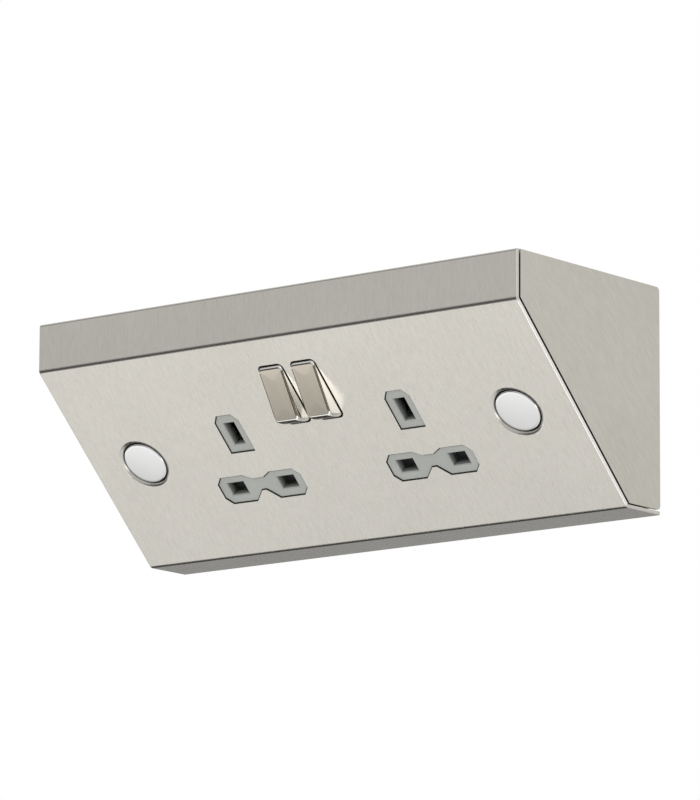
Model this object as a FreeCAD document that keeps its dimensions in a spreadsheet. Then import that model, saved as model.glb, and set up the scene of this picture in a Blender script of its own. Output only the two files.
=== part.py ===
import FreeCAD, Part
import os
import re

import Sketcher

# Twin switched socket in a wedge-shaped steel housing that fits the corner of a wall and a cabinet.
# Most pieces are drawn in the plate frame: x to the right, y up the sloping face, z out of it,
# with its origin at the middle of the sloping face. The housing's own frame has its origin on the wall.

DIMENSIONS = {
    # folded front cover
    "overall_width": 208.0,
    "lip_height": 17.0,
    "slope_length": 86.0,
    "slope_angle": 45.0,
    "bottom_depth": 18.9,
    "cover_sheet": 1.2,
    "bend_inner": 0.8,
    "return_depth": 6.0,
    "return_round": 1.0,
    "return_end_gap": 0.4,
    "return_gap": 0.4,
    "flange_wall_gap": 0.5,
    # folded back box
    "box_sheet": 1.2,
    "box_reveal": 0.15,
    "box_gap": 1.1,
    "box_foot_gap": 0.6,
    "box_corner": 1.5,
    "box_relief": 0.9,
    "lug_height": 20.0,
    "lug_reach": 10.0,
    "fixing_inset": 29.0,
    "fixing_hole": 5.0,
    "wall_fixing_rise": 22.0,
    "cabinet_fixing_depth": 30.0,
    "cable_rise": 16.0,
    "cable_bore": 16.0,
    "bush_wall": 2.0,
    "bush_flange": 2.5,
    "bush_flange_thick": 1.6,
    "box_earth_inset": 24.0,
    "box_earth_drop": 15.0,
    "box_earth_size": 9.0,
    "box_earth_wire_in": 3.2,
    "box_earth_head": 1.6,
    # dimples, caps and cover screws
    "cap_base_gap": 21.2,
    "cap_diameter": 16.5,
    "cap_fit_gap": 0.2,
    "cap_drop": 0.2,
    "cap_dome": 0.2,
    "cap_bevel": 0.4,
    "cap_roof": 1.2,
    "cap_skirt": 1.0,
    "dimple_roll": 1.55,
    "dimple_depth": 3.6,
    "screw_diameter": 3.5,
    "screw_head": 7.0,
    "screw_head_height": 1.9,
    "screw_length": 12.0,
    "screw_bevel": 0.5,
    "screw_point": 0.8,
    "screw_slot": 1.0,
    "hole_slack": 0.35,
    "thread_gap": 0.05,
    "cut_past": 1.0,
    # outlets
    "outlet_spacing": 74.2,
    "pin_row_drop": 15.4,
    "pin_spread": 22.23,
    "line_slot_width": 7.2,
    "line_slot_height": 5.0,
    "earth_slot_width": 4.6,
    "earth_slot_height": 9.0,
    "slot_lead": 0.4,
    "twin_half_width": 18.25,
    "twin_above": 5.3,
    "twin_below": 5.6,
    "twin_corner_across": 2.4,
    "twin_corner_up": 2.6,
    "notch_top_depth": 1.9,
    "notch_top_mouth": 5.9,
    "notch_top_floor": 2.3,
    "notch_low_depth": 4.1,
    "notch_low_mouth": 5.15,
    "notch_low_floor": 0.95,
    "single_half_width": 5.2,
    "single_above": 8.0,
    "single_below": 7.4,
    "single_corner_across": 2.0,
    "single_corner_up": 2.7,
    "island_gap": 0.15,
    "island_recess": 0.5,
    "edge_roll": 0.3,
    # rockers
    "rocker_spacing": 14.0,
    "rocker_rise": 19.85,
    "window_width": 10.6,
    "window_height": 24.3,
    "window_corner": 2.0,
    "rocker_width": 10.0,
    "rocker_half_length": 9.7,
    "rocker_reach": 7.9,
    "rocker_skirt": 2.0,
    "rocker_round": 0.3,
    "rocker_end_round": 1.5,
    "rocker_wall": 0.8,
    "rocker_tilt": 14.7,
    "pivot_depth": 4.5,
    "trunnion_radius": 1.5,
    "trunnion_length": 1.2,
    "trunnion_end_gap": 0.3,
    "running_gap": 0.05,
    "well_side_gap": 0.4,
    "well_half_height": 13.0,
    "stem_half": 2.6,
    "stem_drop": 6.0,
    "plunger_radius": 1.4,
    "plunger_tip": 9.5,
    "plunger_length": 6.0,
    "bore_depth": 7.5,
    # rocking contact arms
    "arm_axis_drop": 10.8,
    "arm_tilt": 10.0,
    "arm_thick": 1.0,
    "arm_half_width": 2.0,
    "arm_tail": 6.5,
    "arm_nose": 9.4,
    "knuckle_radius": 1.0,
    "button_reach": 8.0,
    "button_radius": 1.3,
    "button_thick": 0.8,
    "button_face_drop": 2.7,
    "fulcrum_half": 1.7,
    "fulcrum_drop": 0.6,
    # mouldings
    "moulding_side_rim": 8.0,
    "moulding_rim": 2.4,
    "moulding_thick": 3.0,
    "bearing_half_height": 4.0,
    "bearing_drop": 3.8,
    "bearing_wall": 2.75,
    "pillar_radius": 2.4,
    "pillar_drop": 7.8,
    "pillar_gap": 0.4,
    "pilot_radius": 1.2,
    "base_screw_radius": 1.15,
    "base_screw_head": 2.6,
    "base_screw_head_height": 1.4,
    "base_screw_short": 1.0,
    "base_screw_point": 1.0,
    "base_width": 120.0,
    "base_above": 34.6,
    "base_below": 31.5,
    "base_depth": 23.0,
    "base_wall": 2.0,
    "base_corner": 3.0,
    "rib_inset": 16.3,
    "rib_drop": 1.5,
    "rib_half_thick": 0.8,
    "rib_half_length": 2.0,
    "rest_drop": 2.0,
    "rest_half_length": 1.5,
    "stud_base_gap": 4.0,
    "stud_up": 22.0,
    "stud_radius": 1.5,
    "stud_length": 8.0,
    "nut_half_flat": 2.75,
    "nut_thick": 2.4,
    # shutters
    "shutter_gap": 0.3,
    "shutter_thick": 3.0,
    "shutter_half_width": 15.0,
    "shutter_half_height": 3.5,
    "shutter_stem": 5.0,
    "shutter_travel": 6.0,
    "shutter_ramp_rise": 2.2,
    "rail_thick": 1.2,
    "rail_height": 12.0,
    "rail_drop": 3.6,
    "spigot_radius": 1.0,
    "spigot_length": 2.0,
    # conductors
    "strip_thick": 0.8,
    "strip_half": 2.0,
    "clip_width": 6.4,
    "clip_throat": 1.85,
    "clip_flare": 0.75,
    "clip_throat_depth": 15.0,
    "clip_mouth_depth": 10.6,
    "earth_strap_depth": 19.2,
    "earth_clip_mouth_depth": 11.8,
    "earth_clip_rim": 1.2,
    "terminal_half": 4.0,
    "terminal_height": 8.0,
    "terminal_roof": 2.0,
    "earth_terminal_across": 14.0,
    "wire_window_half_width": 2.4,
    "wire_window_half_height": 3.2,
    "terminal_bore": 1.7,
    "terminal_screw_radius": 1.5,
    "terminal_head_radius": 2.4,
    # springs
    "shutter_coil_radius": 1.35,
    "shutter_wire": 0.5,
    "shutter_turns": 4.0,
    "plunger_coil_radius": 0.95,
    "plunger_wire": 0.36,
    "plunger_turns": 4.0,
}

SIDES = (("left", -1), ("right", 1))

doc = FreeCAD.newDocument("twin_socket")
sheet = doc.addObject("Spreadsheet::Sheet", "dims")
for row, (name, number) in enumerate(DIMENSIONS.items(), start=1):
    sheet.set(f"A{row}", name)
    sheet.set(f"B{row}", str(number))
    sheet.setAlias(f"B{row}", name)
doc.recompute()


def bound(text):
    """Text of an expression in which each size name points at its cell."""
    return re.sub(r"[a-z_]+", lambda m: "dims." + m[0] if m[0] in DIMENSIONS else m[0], str(text))


def size(text):
    """Number that an expression of size names gives now."""
    return float(sheet.evalExpression(bound(text)))


# Expressions that several pieces share.
RISE = "slope_length * cos(slope_angle)"
RUN = "slope_length * sin(slope_angle)"
HEIGHT = f"(lip_height + {RISE})"
DEPTH = f"({RUN} + bottom_depth)"
BEHIND = "(cover_sheet + moulding_thick)"
FLOOR = f"({BEHIND} + base_depth - base_wall)"
MIDDLE_Y = f"({RUN} / 2 - {DEPTH})"
MIDDLE_Z = f"({HEIGHT} / 2 - lip_height - {RISE} / 2)"
PIN_ROW = "(-pin_row_drop)"
EARTH_ROW = "(pin_spread - pin_row_drop)"
ARM_AXIS = "(pivot_depth + arm_axis_drop)"
FIXED_FACE = f"({ARM_AXIS} + button_face_drop)"
CHEEK_INNER = "(overall_width / 2 - box_reveal - box_sheet)"
ROCKER_RADIUS = "sqrt(rocker_half_length ^ 2 + rocker_reach ^ 2)"
CAP_X = "(base_width / 2 + cap_base_gap)"
STUD_X = "(base_width / 2 + stud_base_gap)"
FIXING_X = "(overall_width / 2 - fixing_inset)"
BOX_EARTH_X = "(overall_width / 2 - box_earth_inset)"
PILLAR_INSET = "(base_wall + pillar_gap + pillar_radius)"

PLATE = FreeCAD.Placement(
    FreeCAD.Vector(0, size(MIDDLE_Y), size(MIDDLE_Z)),
    FreeCAD.Rotation(FreeCAD.Vector(1, 0, 0), 90 + size("slope_angle")),
)
HOUSING = FreeCAD.Placement()


def tilted(x, y, z, angle):
    """Place in the plate frame for a piece that is turned about the x direction."""
    spot = FreeCAD.Vector(size(x), size(y), size(z))
    return PLATE * FreeCAD.Placement(spot, FreeCAD.Rotation(FreeCAD.Vector(1, 0, 0), size(angle)))


class Outline:
    """Sketch on a plane of a body, with every size bound to the sheet."""

    def __init__(self, body, role, away, across, up):
        self.sketch = body.newObject("Sketcher::SketchObject", body.Name + "_sketch")
        plane = next(f for f in body.Origin.OriginFeatures if f.Role == role)
        self.sketch.AttachmentSupport = [(plane, "")]
        self.sketch.MapMode = "FlatFace"
        for axis, text in (("x", across), ("y", up), ("z", away)):
            self.sketch.setExpression(f"AttachmentOffset.Base.{axis}", bound(text))

    def fix(self, kind, text, *where):
        number = self.sketch.addConstraint(Sketcher.Constraint(kind, *where, size(text)))
        self.sketch.setExpression(f"Constraints[{number}]", bound(text))

    def fix_point(self, geometry, position, x, y):
        self.fix("DistanceX", x, -1, 1, geometry, position)
        self.fix("DistanceY", y, -1, 1, geometry, position)

    def loop(self, corners):
        """Closed loop. A corner is (x, y), or (x, y, centre_x, centre_y, turn) when an arc leaves it."""
        spots = [FreeCAD.Vector(size(c[0]), size(c[1]), 0) for c in corners]
        ends = []
        for i, corner in enumerate(corners):
            start, stop = spots[i], spots[(i + 1) % len(spots)]
            if len(corner) == 2:
                number = self.sketch.addGeometry(Part.LineSegment(start, stop), False)
                ends.append((number, 1, 2))
                continue
            centre = FreeCAD.Vector(size(corner[2]), size(corner[3]), 0)
            circle = Part.Circle(centre, FreeCAD.Vector(0, 0, 1), centre.distanceToPoint(start))
            first, last = (start, stop) if corner[4] == "ccw" else (stop, start)
            arc = Part.ArcOfCircle(circle, circle.parameter(first), circle.parameter(last))
            number = self.sketch.addGeometry(arc, False)
            ends.append((number, 1, 2) if corner[4] == "ccw" else (number, 2, 1))
        for i, corner in enumerate(corners):
            number, start, stop = ends[i]
            following = ends[(i + 1) % len(ends)]
            meeting = Sketcher.Constraint("Coincident", number, stop, following[0], following[1])
            self.sketch.addConstraint(meeting)
            self.fix_point(number, start, corner[0], corner[1])
            if len(corner) > 2:
                chord = spots[(i + 1) % len(spots)] - spots[i]
                if abs(chord.x) > abs(chord.y):
                    self.fix("DistanceY", corner[3], -1, 1, number, 3)
                else:
                    self.fix("DistanceX", corner[2], -1, 1, number, 3)
        return self

    def rectangle(self, left, right, low, high):
        return self.loop([(left, low), (right, low), (right, high), (left, high)])

    def block(self, x, y, half_x, half_y):
        return self.rectangle(f"{x} - {half_x}", f"{x} + {half_x}", f"{y} - {half_y}", f"{y} + {half_y}")

    def circle(self, x, y, radius):
        spot = FreeCAD.Vector(size(x), size(y), 0)
        number = self.sketch.addGeometry(Part.Circle(spot, FreeCAD.Vector(0, 0, 1), size(radius)), False)
        self.fix_point(number, 3, x, y)
        self.fix("Radius", radius, number)
        return self


class Piece:
    """One physical piece: a body, its place and the features that shape it."""

    made = []

    def __init__(self, label, place):
        self.body = doc.addObject("PartDesign::Body", label)
        self.body.Label = label
        self.place = place
        Piece.made.append(self)

    def draw(self, role, away="0", across="0", up="0"):
        return Outline(self.body, role + "_Plane", away, across, up)

    def sweep(self, kind, outline, length, side):
        feature = self.body.newObject("PartDesign::" + kind, self.body.Name + "_" + kind.lower())
        feature.Profile = outline.sketch
        feature.setExpression("Length", bound(length))
        if side == "both":
            feature.SideType = "Symmetric"
        else:
            feature.Reversed = (side == "back") == (kind == "Pad")
        outline.sketch.Visibility = False
        doc.recompute()
        return feature

    def pad(self, outline, length, side="back"):
        """Adds material behind the sketch plane, in front of it, or on both sides."""
        return self.sweep("Pad", outline, length, side)

    def cut(self, outline, length, side="back"):
        """Removes material behind the sketch plane, in front of it, or on both sides."""
        before = self.body.Shape.Volume
        feature = self.sweep("Pocket", outline, length, side)
        if self.body.Shape.Volume > before - 1e-6:
            raise RuntimeError(f"{self.body.Label}: a cut removes nothing")
        return feature

    def turn(self, outline, axis="V_Axis"):
        """Adds the outline turned once about an axis of its sketch."""
        feature = self.body.newObject("PartDesign::Revolution", self.body.Name + "_turned")
        feature.Profile = outline.sketch
        feature.ReferenceAxis = (outline.sketch, [axis])
        feature.Angle = 360
        doc.recompute()
        return feature

    def soften(self, kind, length, wanted):
        """Rounds or chamfers the edges for which wanted(edge) is true."""
        base = self.body.Tip
        names = [f"Edge{i}" for i, edge in enumerate(base.Shape.Edges, start=1) if wanted(edge)]
        if not names:
            raise RuntimeError(f"{self.body.Label}: no edge to soften")
        feature = self.body.newObject("PartDesign::" + kind, self.body.Name + "_" + kind.lower())
        feature.Base = (base, names)
        feature.setExpression("Radius" if kind == "Fillet" else "Size", bound(length))
        doc.recompute()
        return feature

    def coil(self, radius, wire, turns, length):
        """Adds a coil of round wire about the body's z axis, from its origin upwards."""
        profile = self.draw("XZ").circle(radius, f"{wire} / 2", f"{wire} / 2")
        feature = self.body.newObject("PartDesign::AdditiveHelix", self.body.Name + "_coil")
        feature.Profile = profile.sketch
        feature.ReferenceAxis = (profile.sketch, ["V_Axis"])
        feature.Mode = 0
        feature.setExpression("Height", bound(f"{length} - {wire}"))
        feature.setExpression("Pitch", bound(f"({length} - {wire}) / {turns}"))
        profile.sketch.Visibility = False
        doc.recompute()
        return feature


def runs_along_x(edge, y, z):
    """True for a straight edge along x through (y, z)."""
    ends = [v.Point for v in edge.Vertexes]
    if len(ends) != 2 or abs(ends[0].x - ends[1].x) < 1:
        return False
    return all(abs(p.y - y) < 1e-3 and abs(p.z - z) < 1e-3 for p in ends)


def mirrored(points):
    """Loop that runs down the right side of a shape and back up its left side."""
    return points + [(f"-({x})", y) for x, y in reversed(points)]


def shifted(points, across, up):
    """The same loop, moved across and up."""
    return [(f"{across} + {x}", f"{up} + {y}") for x, y in points]


def twin_face(gap):
    """Right half of the lower outlet face, from its middle top to its middle bottom."""
    top = f"(twin_above - {gap})"
    low = f"({gap} - twin_below)"
    side = f"(twin_half_width - {gap})"
    return mirrored([
        (f"(notch_top_floor + {gap})", f"(twin_above - notch_top_depth - {gap})"),
        (f"(notch_top_mouth + {gap})", top),
        (f"({side} - twin_corner_across)", top),
        (side, f"({top} - twin_corner_up)"),
        (side, f"({low} + twin_corner_up)"),
        (f"({side} - twin_corner_across)", low),
        (f"(notch_low_mouth + {gap})", low),
        (f"(notch_low_floor + {gap})", f"(notch_low_depth - twin_below + {gap})"),
    ])


def single_face(gap):
    """Outline of the upper outlet face, with its two top corners cut off."""
    side = f"(single_half_width - {gap})"
    top = f"(single_above - {gap})"
    return mirrored([
        (f"({side} - single_corner_across)", top),
        (side, f"({top} - single_corner_up)"),
        (side, f"({gap} - single_below)"),
    ])


def outlet_faces(outline, gap):
    """Adds the faces of both outlets to a sketch."""
    for _, sign in SIDES:
        middle = f"{sign} * outlet_spacing / 2"
        outline.loop(shifted(twin_face(gap), middle, PIN_ROW))
        outline.loop(shifted(single_face(gap), middle, EARTH_ROW))
    return outline


def round_rectangle(x, y, half_x, half_y, radius):
    """Corners of a rectangle whose corners are rounded, counted counter-clockwise."""
    loop = []
    for sx, sy, lead in ((1, -1, "low"), (1, 1, "side"), (-1, 1, "low"), (-1, -1, "side")):
        centre = (f"{x} + {sx} * ({half_x} - {radius})", f"{y} + {sy} * ({half_y} - {radius})")
        on_row = (centre[0], f"{y} + {sy} * {half_y}")
        on_side = (f"{x} + {sx} * {half_x}", centre[1])
        first, last = (on_row, on_side) if lead == "low" else (on_side, on_row)
        loop.append((*first, *centre, "ccw"))
        loop.append(last)
    return loop


def is_sheared(edge):
    """True for a sheared edge of the sloping face: one round an aperture, or one down a side of the sheet."""
    box = edge.BoundBox
    on_face = abs(box.ZMin) < 1e-4 and abs(box.ZMax) < 1e-4
    return on_face and box.XLength < size("outlet_spacing / 2")


def make_front_cover():
    cover = Piece("front_cover", PLATE)
    half = "slope_length / 2"
    flange = "(bottom_depth - flange_wall_gap)"
    lip_y, lip_z = f"{half} + lip_height * cos(slope_angle)", "-lip_height * sin(slope_angle)"
    foot_y = f"-{half} - {flange} * sin(slope_angle)"
    foot_z = f"-{flange} * cos(slope_angle)"
    sheet_in = ("-cover_sheet * sin(slope_angle)", "- cover_sheet * cos(slope_angle)")
    inner_top = f"{half} - cover_sheet * tan(slope_angle / 2)"
    inner_low = f"cover_sheet * cos(slope_angle) / (1 + sin(slope_angle)) - {half}"
    profile = cover.draw("YZ").loop([
        (lip_y, lip_z),
        (half, "0"),
        (f"-{half}", "0"),
        (foot_y, foot_z),
        (f"{foot_y} + cover_sheet * cos(slope_angle)", f"{foot_z} - cover_sheet * sin(slope_angle)"),
        (inner_low, "-cover_sheet"),
        (inner_top, "-cover_sheet"),
        (f"{lip_y} {sheet_in[0]}", f"{lip_z} {sheet_in[1]}"),
    ])
    cover.pad(profile, "overall_width", "both")
    bends = [(half, "0"), (f"-{half}", "0")]
    corners = [(inner_top, "-cover_sheet"), (inner_low, "-cover_sheet")]
    for places, radius in ((bends, "bend_inner + cover_sheet"), (corners, "bend_inner")):
        spots = [(size(y), size(z)) for y, z in places]
        cover.soften("Fillet", radius, lambda e: any(runs_along_x(e, *spot) for spot in spots))
    back = ("-return_depth * sin(slope_angle)", "- return_depth * cos(slope_angle)")
    down = ("- cover_sheet * cos(slope_angle)", "+ cover_sheet * sin(slope_angle)")
    top_return = cover.draw("YZ").loop([
        (lip_y, lip_z),
        (f"{lip_y} {back[0]}", f"{lip_z} {back[1]}"),
        (f"{lip_y} {back[0]} {down[0]}", f"{lip_z} {back[1]} {down[1]}"),
        (f"{lip_y} {down[0]}", f"{lip_z} {down[1]}"),
    ])
    cover.pad(top_return, f"2 * ({CHEEK_INNER} - return_end_gap)", "both")
    cover.soften("Fillet", "return_round", lambda e: runs_along_x(e, size(lip_y), size(lip_z)))
    windows = outlet_faces(cover.draw("XY"), "0")
    for _, sign in SIDES:
        windows.loop(round_rectangle(f"{sign} * rocker_spacing / 2", "rocker_rise", "window_width / 2",
                                     "window_height / 2", "window_corner"))
    cover.cut(windows, "2 * cover_sheet")
    cover.soften("Fillet", "edge_roll", is_sheared)
    rim = "(cap_diameter / 2 + cap_fit_gap + dimple_roll)"
    rims = cover.draw("XY")
    for _, sign in SIDES:
        rims.circle(f"{sign} * {CAP_X}", "0", rim)
    cover.cut(rims, "2 * cover_sheet")
    cup = "(cap_diameter / 2 + cap_fit_gap)"
    hole = "(screw_diameter / 2 + hole_slack)"
    for _, sign in SIDES:
        dimple = cover.draw("XZ", across=f"{sign} * {CAP_X}").loop([
            (rim, "0", rim, "-dimple_roll", "ccw"),
            (cup, "-dimple_roll"),
            (cup, "-dimple_depth"),
            (hole, "-dimple_depth"),
            (hole, "-dimple_depth - cover_sheet"),
            (f"{cup} + cover_sheet", "-dimple_depth - cover_sheet"),
            (f"{cup} + cover_sheet", "-dimple_roll", rim, "-dimple_roll", "cw"),
            (rim, "-cover_sheet"),
        ])
        cover.turn(dimple)


def make_back_box():
    box = Piece("back_box", HOUSING)
    width = "(overall_width - 2 * box_reveal)"
    inner = "2 * " + CHEEK_INNER
    top, foot = f"{HEIGHT} / 2", f"(cover_sheet + box_foot_gap - {HEIGHT} / 2)"
    inset = "(cover_sheet + box_gap)"
    front = f"({inset} - {DEPTH})"
    knee = f"{HEIGHT} / 2 - lip_height + {inset} * tan(slope_angle / 2)"
    toe = f"({inset} - (cover_sheet + box_foot_gap) * sin(slope_angle)) / cos(slope_angle) - bottom_depth"
    wedge = box.draw("YZ").loop([
        (front, top),
        (front, knee),
        (toe, foot),
        ("-box_corner", foot, "-box_corner", f"{foot} + box_corner", "ccw"),
        ("0", f"{foot} + box_corner"),
        ("0", f"{top} - box_corner", "-box_corner", f"{top} - box_corner", "ccw"),
        ("-box_corner", top),
    ])
    box.pad(wedge, width, "both")
    room = box.draw("YZ").loop([
        (f"-{DEPTH}", f"-{HEIGHT} / 2"),
        ("-box_sheet", f"-{HEIGHT} / 2"),
        ("-box_sheet", f"{top} - box_corner", "-box_corner", f"{top} - box_corner", "ccw"),
        ("-box_corner", f"{top} - box_sheet"),
        (f"-{DEPTH}", f"{top} - box_sheet"),
    ])
    box.cut(room, inner, "both")
    relief = box.draw("YZ").rectangle("-2 * box_sheet", "box_sheet",
                                      f"{foot} - box_sheet", f"{foot} + box_relief")
    box.cut(relief, inner, "both")
    mouth = box.draw("YZ").rectangle(f"-{DEPTH}", f"return_depth + return_gap - {DEPTH}",
                                     f"{top} - 2 * box_sheet", f"{top} + box_sheet")
    box.cut(mouth, inner, "both")
    # the lugs stand parallel to the sloping face, straight behind the floors of the dimples
    near = "(dimple_depth + cover_sheet)"
    for sign in (-1, 1):
        flat = box.draw("YZ", away=f"{sign} * ({CHEEK_INNER} + box_sheet / 2)")
        corners = []
        for along, deep in ((1, "0"), (-1, "0"), (-1, "box_sheet"), (1, "box_sheet")):
            up = f"({along} * lug_height / 2)"
            deep = f"({near} + {deep})"
            corners.append((
                f"{MIDDLE_Y} - {up} * sin(slope_angle) + {deep} * cos(slope_angle)",
                f"{MIDDLE_Z} + {up} * cos(slope_angle) + {deep} * sin(slope_angle)",
            ))
        flat.loop(corners)
        box.pad(flat, f"{CHEEK_INNER} + box_sheet / 2 - {CAP_X} + lug_reach", "back" if sign > 0 else "front")
        thread = box.body.newObject("PartDesign::SubtractiveCylinder", "lug_thread")
        thread.setExpression("Radius", bound("screw_diameter / 2 + thread_gap"))
        thread.setExpression("Height", bound(f"{near} + 4 * box_sheet"))
        spot = PLATE.multVec(FreeCAD.Vector(sign * size(CAP_X), 0, -size(f"{near} + 2 * box_sheet")))
        thread.Placement = FreeCAD.Placement(spot, PLATE.Rotation)
        doc.recompute()
    wall = box.draw("XZ")
    for sign in (-1, 1):
        wall.circle(f"{sign} * {FIXING_X}", "wall_fixing_rise", "fixing_hole / 2")
    wall.circle("0", "cable_rise", "cable_bore / 2 + bush_wall + thread_gap")
    box.cut(wall, "4 * box_sheet", "both")
    ceiling = box.draw("XY", away=top)
    for sign in (-1, 1):
        ceiling.circle(f"{sign} * {FIXING_X}", "-cabinet_fixing_depth", "fixing_hole / 2")
    box.cut(ceiling, "4 * box_sheet", "both")


def make_housing_fittings():
    bush = Piece("cable_bush", HOUSING)
    bore, body = "cable_bore / 2", "cable_bore / 2 + bush_wall"
    section = bush.draw("YZ", up="cable_rise").loop([
        ("0", bore),
        ("0", body),
        ("-box_sheet", body),
        ("-box_sheet", f"{body} + bush_flange"),
        ("-box_sheet - bush_flange_thick", f"{body} + bush_flange"),
        ("-box_sheet - bush_flange_thick", bore),
    ])
    bush.turn(section, "H_Axis")

    block = Piece("box_earth_terminal", HOUSING)
    spot = (BOX_EARTH_X, "-box_earth_drop")
    block.pad(block.draw("XZ", away="box_sheet").block(*spot, "box_earth_size / 2", "box_earth_size / 2"),
              "box_earth_size", "front")
    block.cut(block.draw("XZ", away="box_sheet").circle(*spot, "terminal_screw_radius + thread_gap"),
              "2 * box_earth_size", "front")
    block.cut(block.draw("YZ", away=BOX_EARTH_X)
              .circle("-box_sheet - box_earth_wire_in", "-box_earth_drop", "terminal_bore"),
              "2 * box_earth_size", "both")

    screw = Piece("box_earth_screw", HOUSING)
    face = "(-box_sheet - box_earth_size)"
    section = screw.draw("YZ", away=BOX_EARTH_X, up="-box_earth_drop").loop([
        (f"{face} - box_earth_head", "0"),
        (f"{face} - box_earth_head", "terminal_head_radius"),
        (face, "terminal_head_radius"),
        (face, "terminal_screw_radius"),
        (f"{face} + box_earth_size / 2", "terminal_screw_radius"),
        (f"{face} + box_earth_size / 2", "0"),
    ])
    screw.turn(section, "H_Axis")


def make_caps_and_screws():
    roof = "(-cap_drop)"
    rim = "(cap_diameter / 2 - cap_bevel)"
    bulge = f"(({rim}) ^ 2 + cap_dome ^ 2) / (2 * cap_dome)"
    for name, sign in SIDES:
        cap = Piece(f"screw_cap_{name}", PLATE)
        section = cap.draw("XZ", across=f"{sign} * {CAP_X}").loop([
            ("0", f"{roof} - cap_dome - cap_roof"),
            ("cap_diameter / 2 - cap_skirt", f"{roof} - cap_dome - cap_roof"),
            ("cap_diameter / 2 - cap_skirt", "-dimple_depth"),
            ("cap_diameter / 2", "-dimple_depth"),
            ("cap_diameter / 2", f"{roof} - cap_dome - cap_bevel"),
            (rim, f"{roof} - cap_dome", "0", f"{roof} - {bulge}", "ccw"),
            ("0", roof),
        ])
        cap.turn(section)
    screws = Piece("cover_screws", PLATE)
    shank = "screw_diameter / 2"
    for _, sign in SIDES:
        section = screws.draw("XZ", across=f"{sign} * {CAP_X}").loop([
            ("0", "screw_head_height - dimple_depth"),
            ("screw_head / 2 - screw_bevel", "screw_head_height - dimple_depth"),
            ("screw_head / 2", "screw_head_height - dimple_depth - screw_bevel"),
            ("screw_head / 2", "-dimple_depth"),
            (shank, "-dimple_depth"),
            (shank, "screw_point - dimple_depth - screw_length"),
            (f"{shank} - screw_point", "-dimple_depth - screw_length"),
            ("0", "-dimple_depth - screw_length"),
        ])
        screws.turn(section)
    slots = screws.draw("XY", away="screw_head_height - dimple_depth")
    for _, sign in SIDES:
        slots.block(f"{sign} * {CAP_X}", "0", "screw_slot / 2", "screw_head")
    screws.cut(slots, "screw_head_height / 2")


def make_studs():
    places = [(f"{sx} * {STUD_X}", f"{sy} * stud_up") for sx in (-1, 1) for sy in (-1, 1)]
    studs = Piece("mounting_studs", PLATE)
    outline = studs.draw("XY", away="-cover_sheet")
    for x, y in places:
        outline.circle(x, y, "stud_radius")
    studs.pad(outline, "stud_length")
    nuts = Piece("stud_nuts", PLATE)
    outline = nuts.draw("XY", away=f"-{BEHIND}")
    for x, y in places:
        reach = "(nut_half_flat / cos(30))"
        outline.loop([(f"{x} + {reach} * cos({60 * k})", f"{y} + {reach} * sin({60 * k})") for k in range(6)])
        outline.circle(x, y, "stud_radius + thread_gap")
    nuts.pad(outline, "nut_thick")


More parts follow.
